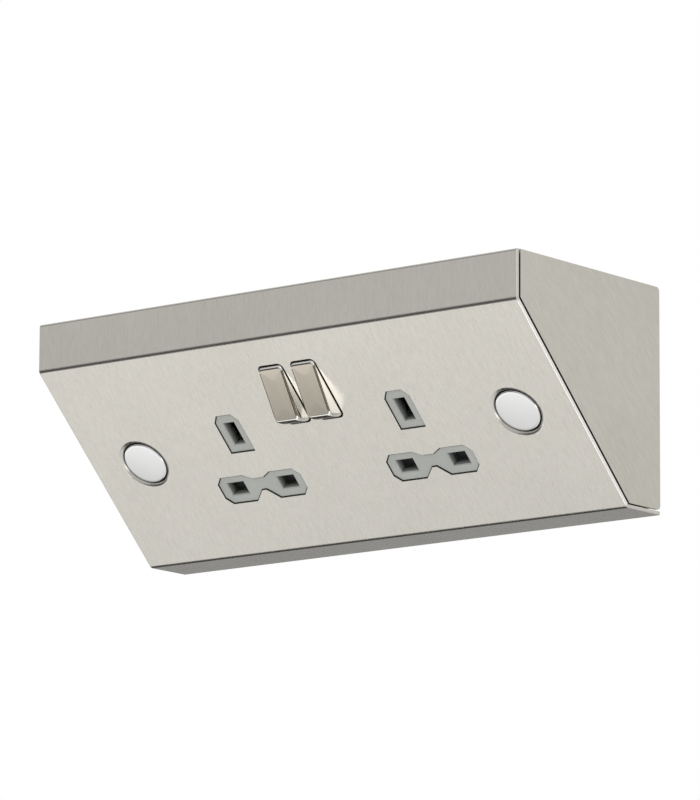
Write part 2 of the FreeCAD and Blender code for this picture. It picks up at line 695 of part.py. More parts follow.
def make_front_moulding():
    moulding = Piece("front_moulding", PLATE)
    plate = moulding.draw("XY", away="-cover_sheet")
    half = "(base_width / 2 + moulding_side_rim)"
    plate.rectangle(f"-{half}", half, "-base_below - moulding_rim", "base_above + moulding_rim")
    for _, sign in SIDES:
        plate.block(f"{sign} * rocker_spacing / 2", "rocker_rise", "(rocker_width / 2 + well_side_gap)",
                    "well_half_height")
        for up in (-1, 1):
            plate.circle(f"{sign} * {STUD_X}", f"{up} * stud_up", "stud_radius + hole_slack")
    moulding.pad(plate, "moulding_thick")
    islands = outlet_faces(moulding.draw("XY", away="-island_recess"), "island_gap")
    moulding.pad(islands, "cover_sheet - island_recess + moulding_thick / 2")
    slots = moulding.draw("XY", away="-island_recess")
    for _, sign in SIDES:
        middle = f"{sign} * outlet_spacing / 2"
        slots.block(middle, EARTH_ROW, "earth_slot_width / 2", "earth_slot_height / 2")
        for hand in (-1, 1):
            slots.block(f"{middle} + {hand} * pin_spread / 2", PIN_ROW, "line_slot_width / 2",
                        "line_slot_height / 2")
    moulding.cut(slots, "2 * moulding_thick")
    centres = []
    for sign in (-1, 1):
        middle = sign * size("outlet_spacing / 2")
        earth_half = (size("earth_slot_width / 2"), size("earth_slot_height / 2"))
        line_half = (size("line_slot_width / 2"), size("line_slot_height / 2"))
        centres.append((middle, size(EARTH_ROW), *earth_half))
        for hand in (-1, 1):
            centres.append((middle + hand * size("pin_spread / 2"), size(PIN_ROW), *line_half))

    def on_slot_rim(edge):
        ends = [v.Point for v in edge.Vertexes]
        if any(abs(p.z + size("island_recess")) > 1e-4 for p in ends):
            return False
        return any(all(abs(p.x - x) < hx + 1e-3 and abs(p.y - y) < hy + 1e-3 for p in ends)
                   for x, y, hx, hy in centres)

    moulding.soften("Chamfer", "slot_lead", on_slot_rim)
    inner_wall = "(rocker_spacing / 2 - rocker_width / 2 - well_side_gap)"
    outer_wall = "(rocker_spacing / 2 + rocker_width / 2 + well_side_gap)"
    bearings = moulding.draw("XY", away=f"-{BEHIND}")
    bearings.block("0", "rocker_rise", inner_wall, "bearing_half_height")
    for _, sign in SIDES:
        bearings.block(f"{sign} * ({outer_wall} + bearing_wall / 2)", "rocker_rise", "bearing_wall / 2",
                       "bearing_half_height")
    moulding.pad(bearings, "bearing_drop")
    seat = "(trunnion_radius + running_gap)"
    reach = "(rocker_width + 2 * trunnion_length + 2 * trunnion_end_gap)"
    for _, sign in SIDES:
        groove = moulding.draw("YZ", away=f"{sign} * rocker_spacing / 2").loop([
            (f"rocker_rise + {seat}", "-pivot_depth", "rocker_rise", "-pivot_depth", "ccw"),
            (f"rocker_rise - {seat}", "-pivot_depth"),
            (f"rocker_rise - {seat}", f"-{BEHIND} - bearing_drop - cut_past"),
            (f"rocker_rise + {seat}", f"-{BEHIND} - bearing_drop - cut_past"),
        ])
        moulding.cut(groove, reach, "both")
    pillars = moulding.draw("XY", away=f"-{BEHIND}")
    pilots = moulding.draw("XY", away=f"-{BEHIND} - pillar_drop")
    for x, y in pillar_places():
        pillars.circle(x, y, "pillar_radius")
        pilots.circle(x, y, "pilot_radius")
    moulding.pad(pillars, "pillar_drop")
    moulding.cut(pilots, "pillar_drop", "front")
    rails = moulding.draw("XY", away=f"-{BEHIND}")
    for _, sign in SIDES:
        for hand in (-1, 1):
            beside = f"{hand} * (shutter_half_width + shutter_gap + rail_thick / 2)"
            rails.block(f"({sign} * outlet_spacing / 2 + {beside})", PIN_ROW, "rail_thick / 2", "rail_height / 2")
    moulding.pad(rails, "rail_drop")


def pillar_places():
    across = f"(base_width / 2 - {PILLAR_INSET})"
    rows = (f"(base_above - {PILLAR_INSET})", f"({PILLAR_INSET} - base_below)")
    return [(f"{sign} * {across}", row) for sign in (-1, 1) for row in rows]


# Where the three terminals stand: name, x and y of the screw.
TERMINALS = {
    "live": ("0", "(rocker_rise - strip_half - terminal_half)"),
    "earth": ("(-earth_terminal_across)", f"({EARTH_ROW} - terminal_half / 2)"),
    "neutral": ("0", f"({PIN_ROW} - terminal_half)"),
}


def make_terminal_base():
    base = Piece("terminal_base", PLATE)
    outer = base.draw("XY", away=f"-{BEHIND}")
    outer.rectangle("-base_width / 2", "base_width / 2", "-base_below", "base_above")
    base.pad(outer, "base_depth")
    base.soften("Fillet", "base_corner", lambda e: abs(e.BoundBox.ZLength - size("base_depth")) < 1e-3)
    room = base.draw("XY", away=f"-{BEHIND}")
    room.rectangle("base_wall - base_width / 2", "base_width / 2 - base_wall", "base_wall - base_below",
                   "base_above - base_wall")
    base.cut(room, "base_depth - base_wall")
    columns = base.draw("XY", away=f"-{FLOOR}")
    bores = base.draw("XY", away=f"-{FLOOR} - base_wall")
    heads = base.draw("XY", away=f"-{FLOOR} - base_wall")
    for x, y in pillar_places():
        columns.circle(x, y, "pillar_radius")
        bores.circle(x, y, "base_screw_radius + thread_gap")
        heads.circle(x, y, "base_screw_head + hole_slack")
    base.pad(columns, "base_depth - base_wall - pillar_drop", "front")
    base.cut(bores, "base_depth", "front")
    base.cut(heads, "base_screw_head_height", "front")
    ribs = base.draw("XY", away=f"-{FLOOR}")
    rests = base.draw("XY", away=f"-{FLOOR}")
    for _, sign in SIDES:
        ribs.block(f"{sign} * (outlet_spacing / 2 - rib_inset)", f"{EARTH_ROW} - rib_drop", "rib_half_thick",
                   "rib_half_length")
        for hand in (-1, 1):
            rests.block(f"{sign} * outlet_spacing / 2 + {hand} * shutter_stem", f"{PIN_ROW} - rest_drop",
                        "rib_half_thick", "rest_half_length")
    base.pad(ribs, f"{FLOOR} - earth_strap_depth - strip_thick", "front")
    base.pad(rests, f"{FLOOR} - {BEHIND} - shutter_thick - 2 * shutter_gap", "front")
    access = base.draw("XY", away=f"-{FLOOR} - base_wall")
    for x, y in TERMINALS.values():
        access.circle(x, y, "terminal_head_radius + hole_slack")
        access.block(f"{x} + 2 * terminal_half", y, "wire_window_half_width", "wire_window_half_height")
    base.cut(access, "2 * base_wall", "both")
    screws = Piece("base_screws", PLATE)
    for x, y in pillar_places():
        section = screws.draw("XZ", across=x, away=f"-({y})").loop([
            ("0", f"-{FLOOR} - base_wall"),
            ("base_screw_head", f"-{FLOOR} - base_wall"),
            ("base_screw_head", f"-{FLOOR} - base_wall + base_screw_head_height"),
            ("base_screw_radius", f"-{FLOOR} - base_wall + base_screw_head_height"),
            ("base_screw_radius", f"-{BEHIND} - base_screw_short - base_screw_point"),
            ("0", f"-{BEHIND} - base_screw_short"),
        ])
        screws.turn(section)


def add_terminal(piece, name, top):
    """Adds a terminal block on the floor of the base, bored for its screw and for the wire."""
    x, y = TERMINALS[name]
    block = piece.draw("XY", away=f"-{FLOOR}").block(x, y, "terminal_half", "terminal_half")
    piece.pad(block, f"{FLOOR} - {top}", "front")
    thread = piece.draw("XY", away=f"-{FLOOR}").circle(x, y, "terminal_screw_radius + thread_gap")
    piece.cut(thread, f"{FLOOR} - {top} - terminal_roof", "front")
    wire = piece.draw("YZ", away=x).circle(y, f"-({FLOOR} + {top}) / 2", "terminal_bore")
    piece.cut(wire, "3 * terminal_half", "both")


def add_line_clip(piece, x):
    """Adds the two sprung leaves that grip a live or neutral pin from above and below."""
    outer = "(clip_throat + strip_thick)"
    leaf = [
        (outer, f"-{FLOOR}"),
        (outer, "-clip_throat_depth"),
        (f"({outer} + clip_flare)", "-clip_mouth_depth"),
        ("(clip_throat + clip_flare)", "-clip_mouth_depth"),
        ("clip_throat", "-clip_throat_depth"),
        ("clip_throat", f"strip_thick - {FLOOR}"),
    ]
    profile = piece.draw("YZ", away=x).loop([(f"{PIN_ROW} + {y}", z) for y, z in mirrored(leaf)])
    piece.pad(profile, "clip_width", "both")


def make_conductors():
    live_bar = Piece("live_bar", PLATE)
    arm = "rocker_spacing / 2"
    strip = live_bar.draw("XY", away=f"-{FLOOR}")
    strip.block("0", "rocker_rise", f"({arm} + arm_half_width)", "strip_half")
    live_bar.pad(strip, "strip_thick", "front")
    posts = live_bar.draw("XY", away=f"-{FLOOR}")
    for _, sign in SIDES:
        posts.block(f"{sign} * {arm}", "rocker_rise", "arm_half_width", "fulcrum_half")
    live_bar.pad(posts, f"{FLOOR} - {ARM_AXIS} - fulcrum_drop", "front")
    live_bar.cut(live_bar.draw("YZ").circle("rocker_rise", f"-{ARM_AXIS}", "knuckle_radius + running_gap"),
                 "2 * rocker_spacing", "both")
    add_terminal(live_bar, "live", f"({FLOOR} - terminal_height)")

    for name, sign, x in (("left", -1, "(pin_spread / 2 - outlet_spacing / 2)"),
                          ("right", 1, "(pin_spread / 2 + outlet_spacing / 2)")):
        contact = Piece(f"live_contact_{name}", PLATE)
        nose = "(rocker_rise + button_reach)"
        near = f"{sign} * ({arm} - arm_half_width)"
        path = contact.draw("XY", away=f"-{FLOOR}").loop([
            (f"{x} + {sign} * strip_half", PIN_ROW),
            (f"{x} + {sign} * strip_half", f"{nose} + strip_half"),
            (near, f"{nose} + strip_half"),
            (near, f"{nose} - strip_half"),
            (f"{x} - {sign} * strip_half", f"{nose} - strip_half"),
            (f"{x} - {sign} * strip_half", PIN_ROW),
        ])
        contact.pad(path, "strip_thick", "front")
        riser = contact.draw("XY", away=f"-{FLOOR}")
        riser.block(f"{sign} * {arm}", nose, "arm_half_width", "strip_half")
        contact.pad(riser, f"{FLOOR} - {FIXED_FACE} - button_thick", "front")
        add_line_clip(contact, x)

    neutral = Piece("neutral_strap", PLATE)
    left, right = "(-outlet_spacing / 2 - pin_spread / 2)", "(outlet_spacing / 2 - pin_spread / 2)"
    high, low = f"({PIN_ROW} - 2 * terminal_half)", f"({PIN_ROW} - 2 * terminal_half - 2 * strip_half)"
    path = neutral.draw("XY", away=f"-{FLOOR}").loop([
        (f"{left} - strip_half", PIN_ROW),
        (f"{left} - strip_half", low),
        (f"{right} + strip_half", low),
        (f"{right} + strip_half", PIN_ROW),
        (f"{right} - strip_half", PIN_ROW),
        (f"{right} - strip_half", high),
        (f"{left} + strip_half", high),
        (f"{left} + strip_half", PIN_ROW),
    ])
    neutral.pad(path, "strip_thick", "front")
    add_line_clip(neutral, left)
    add_line_clip(neutral, right)
    add_terminal(neutral, "neutral", f"({FLOOR} - terminal_height)")

    earth = Piece("earth_strap", PLATE)
    root = "(clip_throat + clip_flare)"
    end = f"(outlet_spacing / 2 + {root} + 2 * strip_thick)"
    start = f"(outlet_spacing / 2 - {root} - 2 * strip_thick)"
    wide = "(earth_slot_height / 2 + earth_clip_rim)"
    narrow = f"({EARTH_ROW} - terminal_half)"
    waist = f"({EARTH_ROW} + strip_half / 2)"
    bar = earth.draw("XY", away="-earth_strap_depth").loop([
        (f"-{end}", f"{EARTH_ROW} - {wide}"),
        (f"-{start}", f"{EARTH_ROW} - {wide}"),
        (f"-{start}", narrow),
        (start, narrow),
        (start, f"{EARTH_ROW} - {wide}"),
        (end, f"{EARTH_ROW} - {wide}"),
        (end, f"{EARTH_ROW} + {wide}"),
        (start, f"{EARTH_ROW} + {wide}"),
        (start, waist),
        (f"-{start}", waist),
        (f"-{start}", f"{EARTH_ROW} + {wide}"),
        (f"-{end}", f"{EARTH_ROW} + {wide}"),
    ])
    for _, sign in SIDES:
        bar.block(f"{sign} * outlet_spacing / 2", EARTH_ROW, root, "earth_slot_height / 2")
    earth.pad(bar, "strip_thick")
    throat_z = "-(earth_strap_depth + earth_clip_mouth_depth) / 2"
    for _, sign in SIDES:
        leaves = earth.draw("XZ", away=f"-{EARTH_ROW}")
        for hand in (-1, 1):
            leaves.loop([(f"{sign} * outlet_spacing / 2 + {hand} * {x}", z) for x, z in (
                (root, "-earth_strap_depth - strip_thick / 2"),
                (f"({root} + strip_thick)", "-earth_strap_depth - strip_thick / 2"),
                (f"({root} + strip_thick)", "-earth_strap_depth"),
                ("(clip_throat + strip_thick)", throat_z),
                (f"({root} + strip_thick)", "-earth_clip_mouth_depth"),
                (root, "-earth_clip_mouth_depth"),
                ("clip_throat", throat_z),
                (root, "-earth_strap_depth"),
            )])
        earth.pad(leaves, "clip_width", "both")
    add_terminal(earth, "earth", "(earth_strap_depth + strip_thick)")

    buttons = Piece("fixed_buttons", PLATE)
    outline = buttons.draw("XY", away=f"-{FIXED_FACE} - button_thick")
    for _, sign in SIDES:
        outline.circle(f"{sign} * {arm}", "rocker_rise + button_reach", "button_radius")
    buttons.pad(outline, "button_thick", "front")

    screws = Piece("terminal_screws", PLATE)
    for x, y in TERMINALS.values():
        section = screws.draw("XZ", across=x, away=f"-({y})").loop([
            ("0", f"-{FLOOR} - base_wall"),
            ("terminal_head_radius", f"-{FLOOR} - base_wall"),
            ("terminal_head_radius", f"-{FLOOR}"),
            ("terminal_screw_radius", f"-{FLOOR}"),
            ("terminal_screw_radius", f"strip_thick - {FLOOR}"),
            ("0", f"strip_thick - {FLOOR}"),
        ])
        screws.turn(section)


def rocker_section(radius, reach, low):
    """Side view of a rocker: a flat front, ends curved about the pivot, a flat back."""
    front = f"sqrt({radius} ^ 2 - {reach} ^ 2)"
    back = f"sqrt({radius} ^ 2 - ({low}) ^ 2)"
    return [
        (f"-{front}", reach, "0", "0", "ccw"),
        (f"-{back}", low),
        (back, low, "0", "0", "ccw"),
        (front, reach),
    ]


def make_rockers():
    radius = f"({ROCKER_RADIUS})"
    for name, sign in SIDES:
        place = tilted(f"{sign} * rocker_spacing / 2", "rocker_rise", "-pivot_depth", "-rocker_tilt")
        cap = Piece(f"rocker_cap_{name}", place)
        shell = rocker_section(radius, "rocker_reach", "-rocker_skirt")
        cap.pad(cap.draw("YZ").loop(shell), "rocker_width", "both")
        front, side = size("rocker_reach"), size("rocker_width / 2")
        cap.soften("Fillet", "rocker_end_round", lambda e: e.BoundBox.XLength < 1e-3
                   and e.BoundBox.YLength < side < e.BoundBox.ZLength)
        cap.soften("Fillet", "rocker_round", lambda e: all(abs(v.Z - front) < 1e-4 for v in e.Vertexes))
        hollow = rocker_section(f"({radius} - rocker_wall)", "(rocker_reach - rocker_wall)",
                                "-rocker_skirt - cut_past")
        cap.cut(cap.draw("YZ").loop(hollow), "rocker_width - 2 * rocker_wall", "both")
        notch = cap.draw("YZ").rectangle("-trunnion_radius - rocker_wall", "trunnion_radius + rocker_wall",
                                         "-rocker_skirt - cut_past", "trunnion_radius + rocker_wall")
        cap.cut(notch, "2 * rocker_width", "both")

        body = Piece(f"rocker_body_{name}", place)
        fill = rocker_section(f"({radius} - rocker_wall - 2 * running_gap)", "(rocker_reach - rocker_wall)",
                              "-rocker_skirt")
        body.pad(body.draw("YZ").loop(fill), "rocker_width - 2 * rocker_wall - 2 * running_gap", "both")
        body.pad(body.draw("XY").block("0", "0", "stem_half", "stem_half"), "stem_drop")
        trunnions = body.draw("YZ").circle("0", "0", "trunnion_radius")
        body.pad(trunnions, "rocker_width + 2 * trunnion_length", "both")
        bore = body.draw("XY", away="-stem_drop").circle("0", "0", "plunger_radius + running_gap")
        body.cut(bore, "bore_depth", "front")

        plunger = Piece(f"plunger_{name}", place)
        plunger.turn(plunger.draw("XZ").loop([
            ("0", "-plunger_tip", "0", "plunger_radius - plunger_tip", "ccw"),
            ("plunger_radius", "plunger_radius - plunger_tip"),
            ("plunger_radius", "plunger_length - plunger_tip"),
            ("0", "plunger_length - plunger_tip"),
        ]))

        gap = "(bore_depth - stem_drop - plunger_length + plunger_tip)"
        spring = Piece(f"plunger_spring_{name}", place * FreeCAD.Placement(
            FreeCAD.Vector(0, 0, size("plunger_length - plunger_tip")), FreeCAD.Rotation()))
        spring.coil("plunger_coil_radius", "plunger_wire", "plunger_turns", gap)

        pivot = tilted(f"{sign} * rocker_spacing / 2", "rocker_rise", f"-{ARM_AXIS}", "arm_tilt")
        arm = Piece(f"contact_arm_{name}", pivot)
        blade = arm.draw("XY").rectangle("-arm_half_width", "arm_half_width", "-arm_tail", "arm_nose")
        arm.pad(blade, "arm_thick", "front")
        arm.pad(arm.draw("YZ").circle("0", "0", "knuckle_radius"), "2 * arm_half_width", "both")
        button = Piece(f"arm_button_{name}", pivot)
        button.pad(button.draw("XY").circle("0", "button_reach", "button_radius"), "button_thick")


def make_shutters():
    front = f"({BEHIND} + shutter_gap)"
    for name, sign in SIDES:
        middle = f"{sign} * outlet_spacing / 2"
        shutter = Piece(f"shutter_{name}", PLATE)
        bar = shutter.draw("XY", away=f"-{front}")
        bar.block(middle, PIN_ROW, "shutter_half_width", "shutter_half_height")
        shutter.pad(bar, "shutter_thick")
        top = f"({EARTH_ROW} + shutter_ramp_rise)"
        stem = shutter.draw("YZ", away=middle).loop([
            (PIN_ROW, f"-{front}"),
            (f"{top} - shutter_travel", f"-{front}"),
            (top, f"-{front} - shutter_travel"),
            (f"{top} - shutter_thick", f"-{front} - shutter_travel"),
            (f"{top} - 2 * shutter_travel", f"-{front} - shutter_thick"),
            (PIN_ROW, f"-{front} - shutter_thick"),
        ])
        shutter.pad(stem, "shutter_stem", "both")
        foot = f"({PIN_ROW} - shutter_half_height)"
        centre_z = f"(-{front} - shutter_thick / 2)"
        spigot = shutter.draw("XZ", away=f"-{foot}").circle(middle, centre_z, "spigot_radius")
        shutter.pad(spigot, "spigot_length", "front")
        length = f"(base_below - base_wall + {foot})"
        spot = FreeCAD.Vector(size(middle), size("base_wall - base_below"), size(centre_z))
        turn = FreeCAD.Rotation(FreeCAD.Vector(1, 0, 0), -90)
        spring = Piece(f"shutter_spring_{name}", PLATE * FreeCAD.Placement(spot, turn))
        spring.coil("shutter_coil_radius", "shutter_wire", "shutter_turns", length)


make_front_cover()
make_back_box()
make_housing_fittings()
make_caps_and_screws()
make_studs()
make_front_moulding()
make_terminal_base()
make_conductors()
make_rockers()
make_shutters()

for piece in Piece.made:
    piece.body.Placement = piece.place
doc.recompute()

broken = [o.Label for o in doc.Objects if "Invalid" in o.State or "Error" in o.State]
if broken:
    raise RuntimeError("not computed: " + ", ".join(broken))
os.makedirs("parts", exist_ok=True)
for piece in Piece.made:
    shape = piece.body.Shape
    if shape.isNull() or not shape.isValid() or not shape.Solids:
        raise RuntimeError(f"{piece.body.Label}: no valid solid")
    shape.exportStep(f"parts/{piece.body.Label}.step")
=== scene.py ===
"""Dresses the twin switched socket: finishes for its folded steel housing, its rockers, caps and works."""

import logging
import math
from dataclasses import astuple, dataclass
from enum import Enum, IntEnum
from functools import cache
from typing import Optional, Sequence, Union

import bmesh
import bpy
from mathutils import Euler, Matrix, Vector


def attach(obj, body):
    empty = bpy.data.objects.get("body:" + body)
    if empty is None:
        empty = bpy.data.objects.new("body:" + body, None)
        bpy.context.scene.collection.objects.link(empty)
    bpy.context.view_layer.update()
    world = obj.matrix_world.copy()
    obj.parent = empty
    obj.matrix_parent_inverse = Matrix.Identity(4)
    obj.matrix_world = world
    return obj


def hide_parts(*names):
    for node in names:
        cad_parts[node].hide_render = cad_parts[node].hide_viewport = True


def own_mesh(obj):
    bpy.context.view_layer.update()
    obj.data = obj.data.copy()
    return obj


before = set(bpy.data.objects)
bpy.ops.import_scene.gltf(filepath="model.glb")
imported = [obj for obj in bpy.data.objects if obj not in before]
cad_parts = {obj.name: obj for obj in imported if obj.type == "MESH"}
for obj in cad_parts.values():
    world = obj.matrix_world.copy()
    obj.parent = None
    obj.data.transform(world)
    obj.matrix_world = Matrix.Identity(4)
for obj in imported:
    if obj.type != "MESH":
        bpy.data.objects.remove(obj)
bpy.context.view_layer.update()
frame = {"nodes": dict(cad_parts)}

LOG = logging.getLogger("twin_socket")
MM = 0.001
# Points closer than this, in millimetres, are merged.
MERGE = 1e-7

Colour = tuple[float, float, float, float]
Pair = tuple[float, float]
Triple = tuple[float, float, float]
Socket = bpy.types.NodeSocket
Value = Union[Socket, float]

# The sloping plate's frame in the row frame: x to the right, y up the slope, z out of it.
PLATE_MIDDLE = (0.0, -49.306 * MM, -8.5 * MM)
PLATE_TURN = math.radians(135.0)
PLATE = Matrix.Translation(PLATE_MIDDLE) @ Matrix.Rotation(PLATE_TURN, 4, "X")


class Side(Enum):
    """The two halves of the twin socket."""

    LEFT = "left"
    RIGHT = "right"

    @property
    def sign(self) -> int:
        """Direction along x, from the middle of the plate."""
        return -1 if self is Side.LEFT else 1


class Grain(Enum):
    """How the lines of a brushed sheet run: turns of their pattern about x and z, in degrees."""

    DOWN_THE_SHEET = (0.0, 0.0)
    BESIDE_THE_SLOPE = (-45.0, 90.0)


class CapFace(IntEnum):
    """Material numbers of a rocker cap's faces."""

    BRIGHT = 0
    SATIN = 1
    # Long sides of the edge rounds, painted dark as a reflection.
    EDGE = 2


def grey(level: float, warmth: float = 0.0) -> Colour:
    """Near-neutral linear colour, with red raised and blue lowered by the warmth's share of the level."""
    return (level * (1.0 + warmth), level, level * (1.0 - warmth), 1.0)


WHITE = grey(1.0)


class Graph:
    """Adds nodes and links to one node tree."""

    # Numbers of a Mix node's sockets for colours.
    mix_share, mix_first, mix_second, mix_result = 0, 6, 7, 2

    def __init__(self, tree: bpy.types.NodeTree) -> None:
        """Keeps the tree that the nodes go into."""
        self.tree = tree

    def feed(self, node: bpy.types.Node, inputs: dict) -> None:
        """Fills inputs of a node.

        Args:
            node: The node.
            inputs: Input names or numbers, with a socket to link or a value to set.
        """
        for name, value in inputs.items():
            if isinstance(value, Socket):
                self.tree.links.new(value, node.inputs[name])
            else:
                node.inputs[name].default_value = value

    def add(self, kind: str, inputs: Optional[dict] = None, **settings: object) -> bpy.types.Node:
        """Adds a node.

        Args:
            kind: Blender's type name of the node.
            inputs: Inputs to fill, as for feed.
            **settings: Properties of the node, set before its inputs.

        Returns:
            The new node.
        """
        node = self.tree.nodes.new(kind)
        for name, value in settings.items():
            setattr(node, name, value)
        self.feed(node, inputs or {})
        return node

    def effect(self, group: bpy.types.NodeTree, inputs: dict) -> bpy.types.NodeOutputs:
        """Places a shared effect, fills its inputs and gives its outputs."""
        return self.add("ShaderNodeGroup", inputs, node_tree=group).outputs

    def maths(self, operation: str, *values: Value) -> Socket:
        """Result of a Math node, with Blender's name of the operation and its values in order."""
        return self.add("ShaderNodeMath", dict(enumerate(values)), operation=operation).outputs[0]

    def span(self, value: Socket, low: Value, high: Value, to_low: float = 0.0, to_high: float = 1.0) -> Socket:
        """Maps the range of a value from low to high to the range from to_low to to_high."""
        ends = {"Value": value, "From Min": low, "From Max": high, "To Min": to_low, "To Max": to_high}
        return self.add("ShaderNodeMapRange", ends).outputs["Result"]

    def weigh(self, first: Socket, second: Socket, share: float) -> Socket:
        """Adds two values, the first by its share and the second by the rest."""
        rest = self.maths("MULTIPLY", second, 1.0 - share)
        return self.maths("MULTIPLY_ADD", first, share, rest)

    def blend(self, share: Socket, first: Union[Socket, Colour], second: Union[Socket, Colour]) -> Socket:
        """Mixes two colours by the share of the second."""
        inputs = {self.mix_share: share, self.mix_first: first, self.mix_second: second}
        return self.add("ShaderNodeMix", inputs, data_type="RGBA").outputs[self.mix_result]

    def relief(self, height: Socket, distance: float) -> Socket:
        """Normal of a surface that a height from 0 to 1 lifts by up to the distance, in metres."""
        return self.add("ShaderNodeBump", {"Height": height, "Strength": 1.0, "Distance": distance}).outputs[0]


class Effects:
    """Shader node groups that several finishes share; each is built once."""

    # Ranges in which nearly all values of a noise texture, and of the pits, lie.
    noise_range: Pair = (0.3, 0.7)
    pit_range: Pair = (0.05, 0.45)

    @staticmethod
    def group(name: str, inputs: dict[str, float], *outputs: str) -> tuple[Graph, dict, bpy.types.Node]:
        """Starts a group with a Vector input, number inputs and number outputs.

        Args:
            name: Name of the group.
            inputs: Number inputs with their defaults.
            *outputs: Names of the outputs.

        Returns:
            The graph, its input sockets by name, and its output node.
        """
        tree = bpy.data.node_groups.new(name, "ShaderNodeTree")
        tree.interface.new_socket("Vector", in_out="INPUT", socket_type="NodeSocketVector")
        for label, default in inputs.items():
            socket = tree.interface.new_socket(label, in_out="INPUT", socket_type="NodeSocketFloat")
            socket.default_value = default
        for label in outputs:
            tree.interface.new_socket(label, in_out="OUTPUT", socket_type="NodeSocketFloat")
        graph = Graph(tree)
        start = graph.add("NodeGroupInput")
        return graph, {s.name: s for s in start.outputs if s.name}, graph.add("NodeGroupOutput")

    @staticmethod
    @cache
    def brushing() -> bpy.types.NodeTree:
        """Makes the short dashes and long fine lines of a brushed sheet.

        Returns:
            The group: Line and Height vary fast along the first axis of Vector.
        """
        graph, given, end = Effects.group("brushing", {
            "Dashes": 900.0, "Dash Length": 8.0, "Lines": 2600.0, "Line Length": 45.0, "Line Share": 0.4,
        }, "Line", "Height")
        results = []
        for count, length, detail in (("Dashes", "Dash Length", 3.0), ("Lines", "Line Length", 2.0)):
            slow = graph.maths("DIVIDE", given[count], given[length])
            stretch = graph.add("ShaderNodeCombineXYZ", {0: given[count], 1: slow, 2: slow}).outputs[0]
            place = graph.add("ShaderNodeVectorMath", {0: given["Vector"], 1: stretch}, operation="MULTIPLY")
            noise = graph.add("ShaderNodeTexNoise", {
                "Vector": place.outputs[0], "Scale": 1.0, "Detail": detail, "Roughness": 0.6})
            results.append(noise.outputs["Fac"])
        dashes, lines = results
        gap = graph.maths("SUBTRACT", lines, dashes)
        both = graph.maths("MULTIPLY_ADD", gap, given["Line Share"], dashes)
        graph.feed(end, {"Line": graph.span(both, *Effects.noise_range), "Height": both})
        return graph.tree

    @staticmethod
    @cache
    def clouding() -> bpy.types.NodeTree:
        """Makes soft broad patches, such as the uneven sheen that handling and rolling leave.

        Returns:
            The group, with Patch from 0 to 1.
        """
        graph, given, end = Effects.group("clouding", {"Patches": 30.0}, "Patch")
        noise = graph.add("ShaderNodeTexNoise", {
            "Vector": given["Vector"], "Scale": given["Patches"], "Detail": 3.0, "Roughness": 0.5,
            "Distortion": 0.4})
        graph.feed(end, {"Patch": graph.span(noise.outputs["Fac"], *Effects.noise_range)})
        return graph.tree

    @staticmethod
    @cache
    def pitting() -> bpy.types.NodeTree:
        """Makes the fine pits of a spark-eroded mould or of a plated casting.

        Returns:
            The group, with Pit from 0 to 1, and its Height.
        """
        graph, given, end = Effects.group("pitting", {"Pits": 3000.0}, "Pit", "Height")
        place = {"Vector": given["Vector"], "Scale": given["Pits"]}
        noise = graph.add("ShaderNodeTexNoise", {**place, "Detail": 2.0, "Roughness": 0.55})
        cells = graph.add("ShaderNodeTexVoronoi", place, feature="SMOOTH_F1")
        both = graph.maths("MULTIPLY", noise.outputs["Fac"], cells.outputs["Distance"])
        graph.feed(end, {"Pit": graph.span(both, *Effects.pit_range), "Height": both})
        return graph.tree

    @staticmethod
    def plate_axes(graph: Graph, place: Socket) -> tuple[Socket, Socket, Socket]:
        """Finds where a point lies on the sloping plate.

        Args:
            graph: Graph of the group that asks.
            place: Socket of the point's Object coordinates.

        Returns:
            Its distances across the plate, up the slope and below the face.
        """
        turn = PLATE.to_3x3()
        measures = []
        for axis in range(3):
            way = tuple(turn.col[axis])
            along = graph.add("ShaderNodeVectorMath", {0: place, 1: way}, operation="DOT_PRODUCT")
            middle = PLATE.translation.dot(turn.col[axis])
            measures.append(graph.maths("SUBTRACT", along.outputs["Value"], middle))
        across, up, out = measures
        return across, up, graph.maths("MULTIPLY", out, -1.0)

    @staticmethod
    @cache
    def sinking() -> bpy.types.NodeTree:
        """Makes the mask of walls that lie below the sloping face, and of the plate's side edges, where finishes
        paint shade and a highlight.

        Returns:
            The group: Sunk rises from 0 at the depth Start to 1 at Full and ends at Floor, and Edge is 1
            beyond Edge From.
        """
        graph, given, end = Effects.group("sinking", {
            "Start": 0.01 * MM, "Full": 0.12 * MM, "Floor": 1.15 * MM, "Half Height": 42.0 * MM,
            "Half Width": 68.0 * MM, "Edge From": 103.74 * MM,
        }, "Sunk", "Edge")
        across, up, below = Effects.plate_axes(graph, given["Vector"])
        beside, along = graph.maths("ABSOLUTE", across), graph.maths("ABSOLUTE", up)
        sunk = graph.span(below, given["Start"], given["Full"])
        for reach, limit in ((along, "Half Height"), (beside, "Half Width"), (below, "Floor")):
            sunk = graph.maths("MULTIPLY", sunk, graph.maths("LESS_THAN", reach, given[limit]))
        edge = graph.maths("MULTIPLY", graph.maths("GREATER_THAN", beside, given["Edge From"]),
                           graph.maths("LESS_THAN", along, given["Half Height"]))
        graph.feed(end, {"Sunk": sunk, "Edge": edge})
        return graph.tree

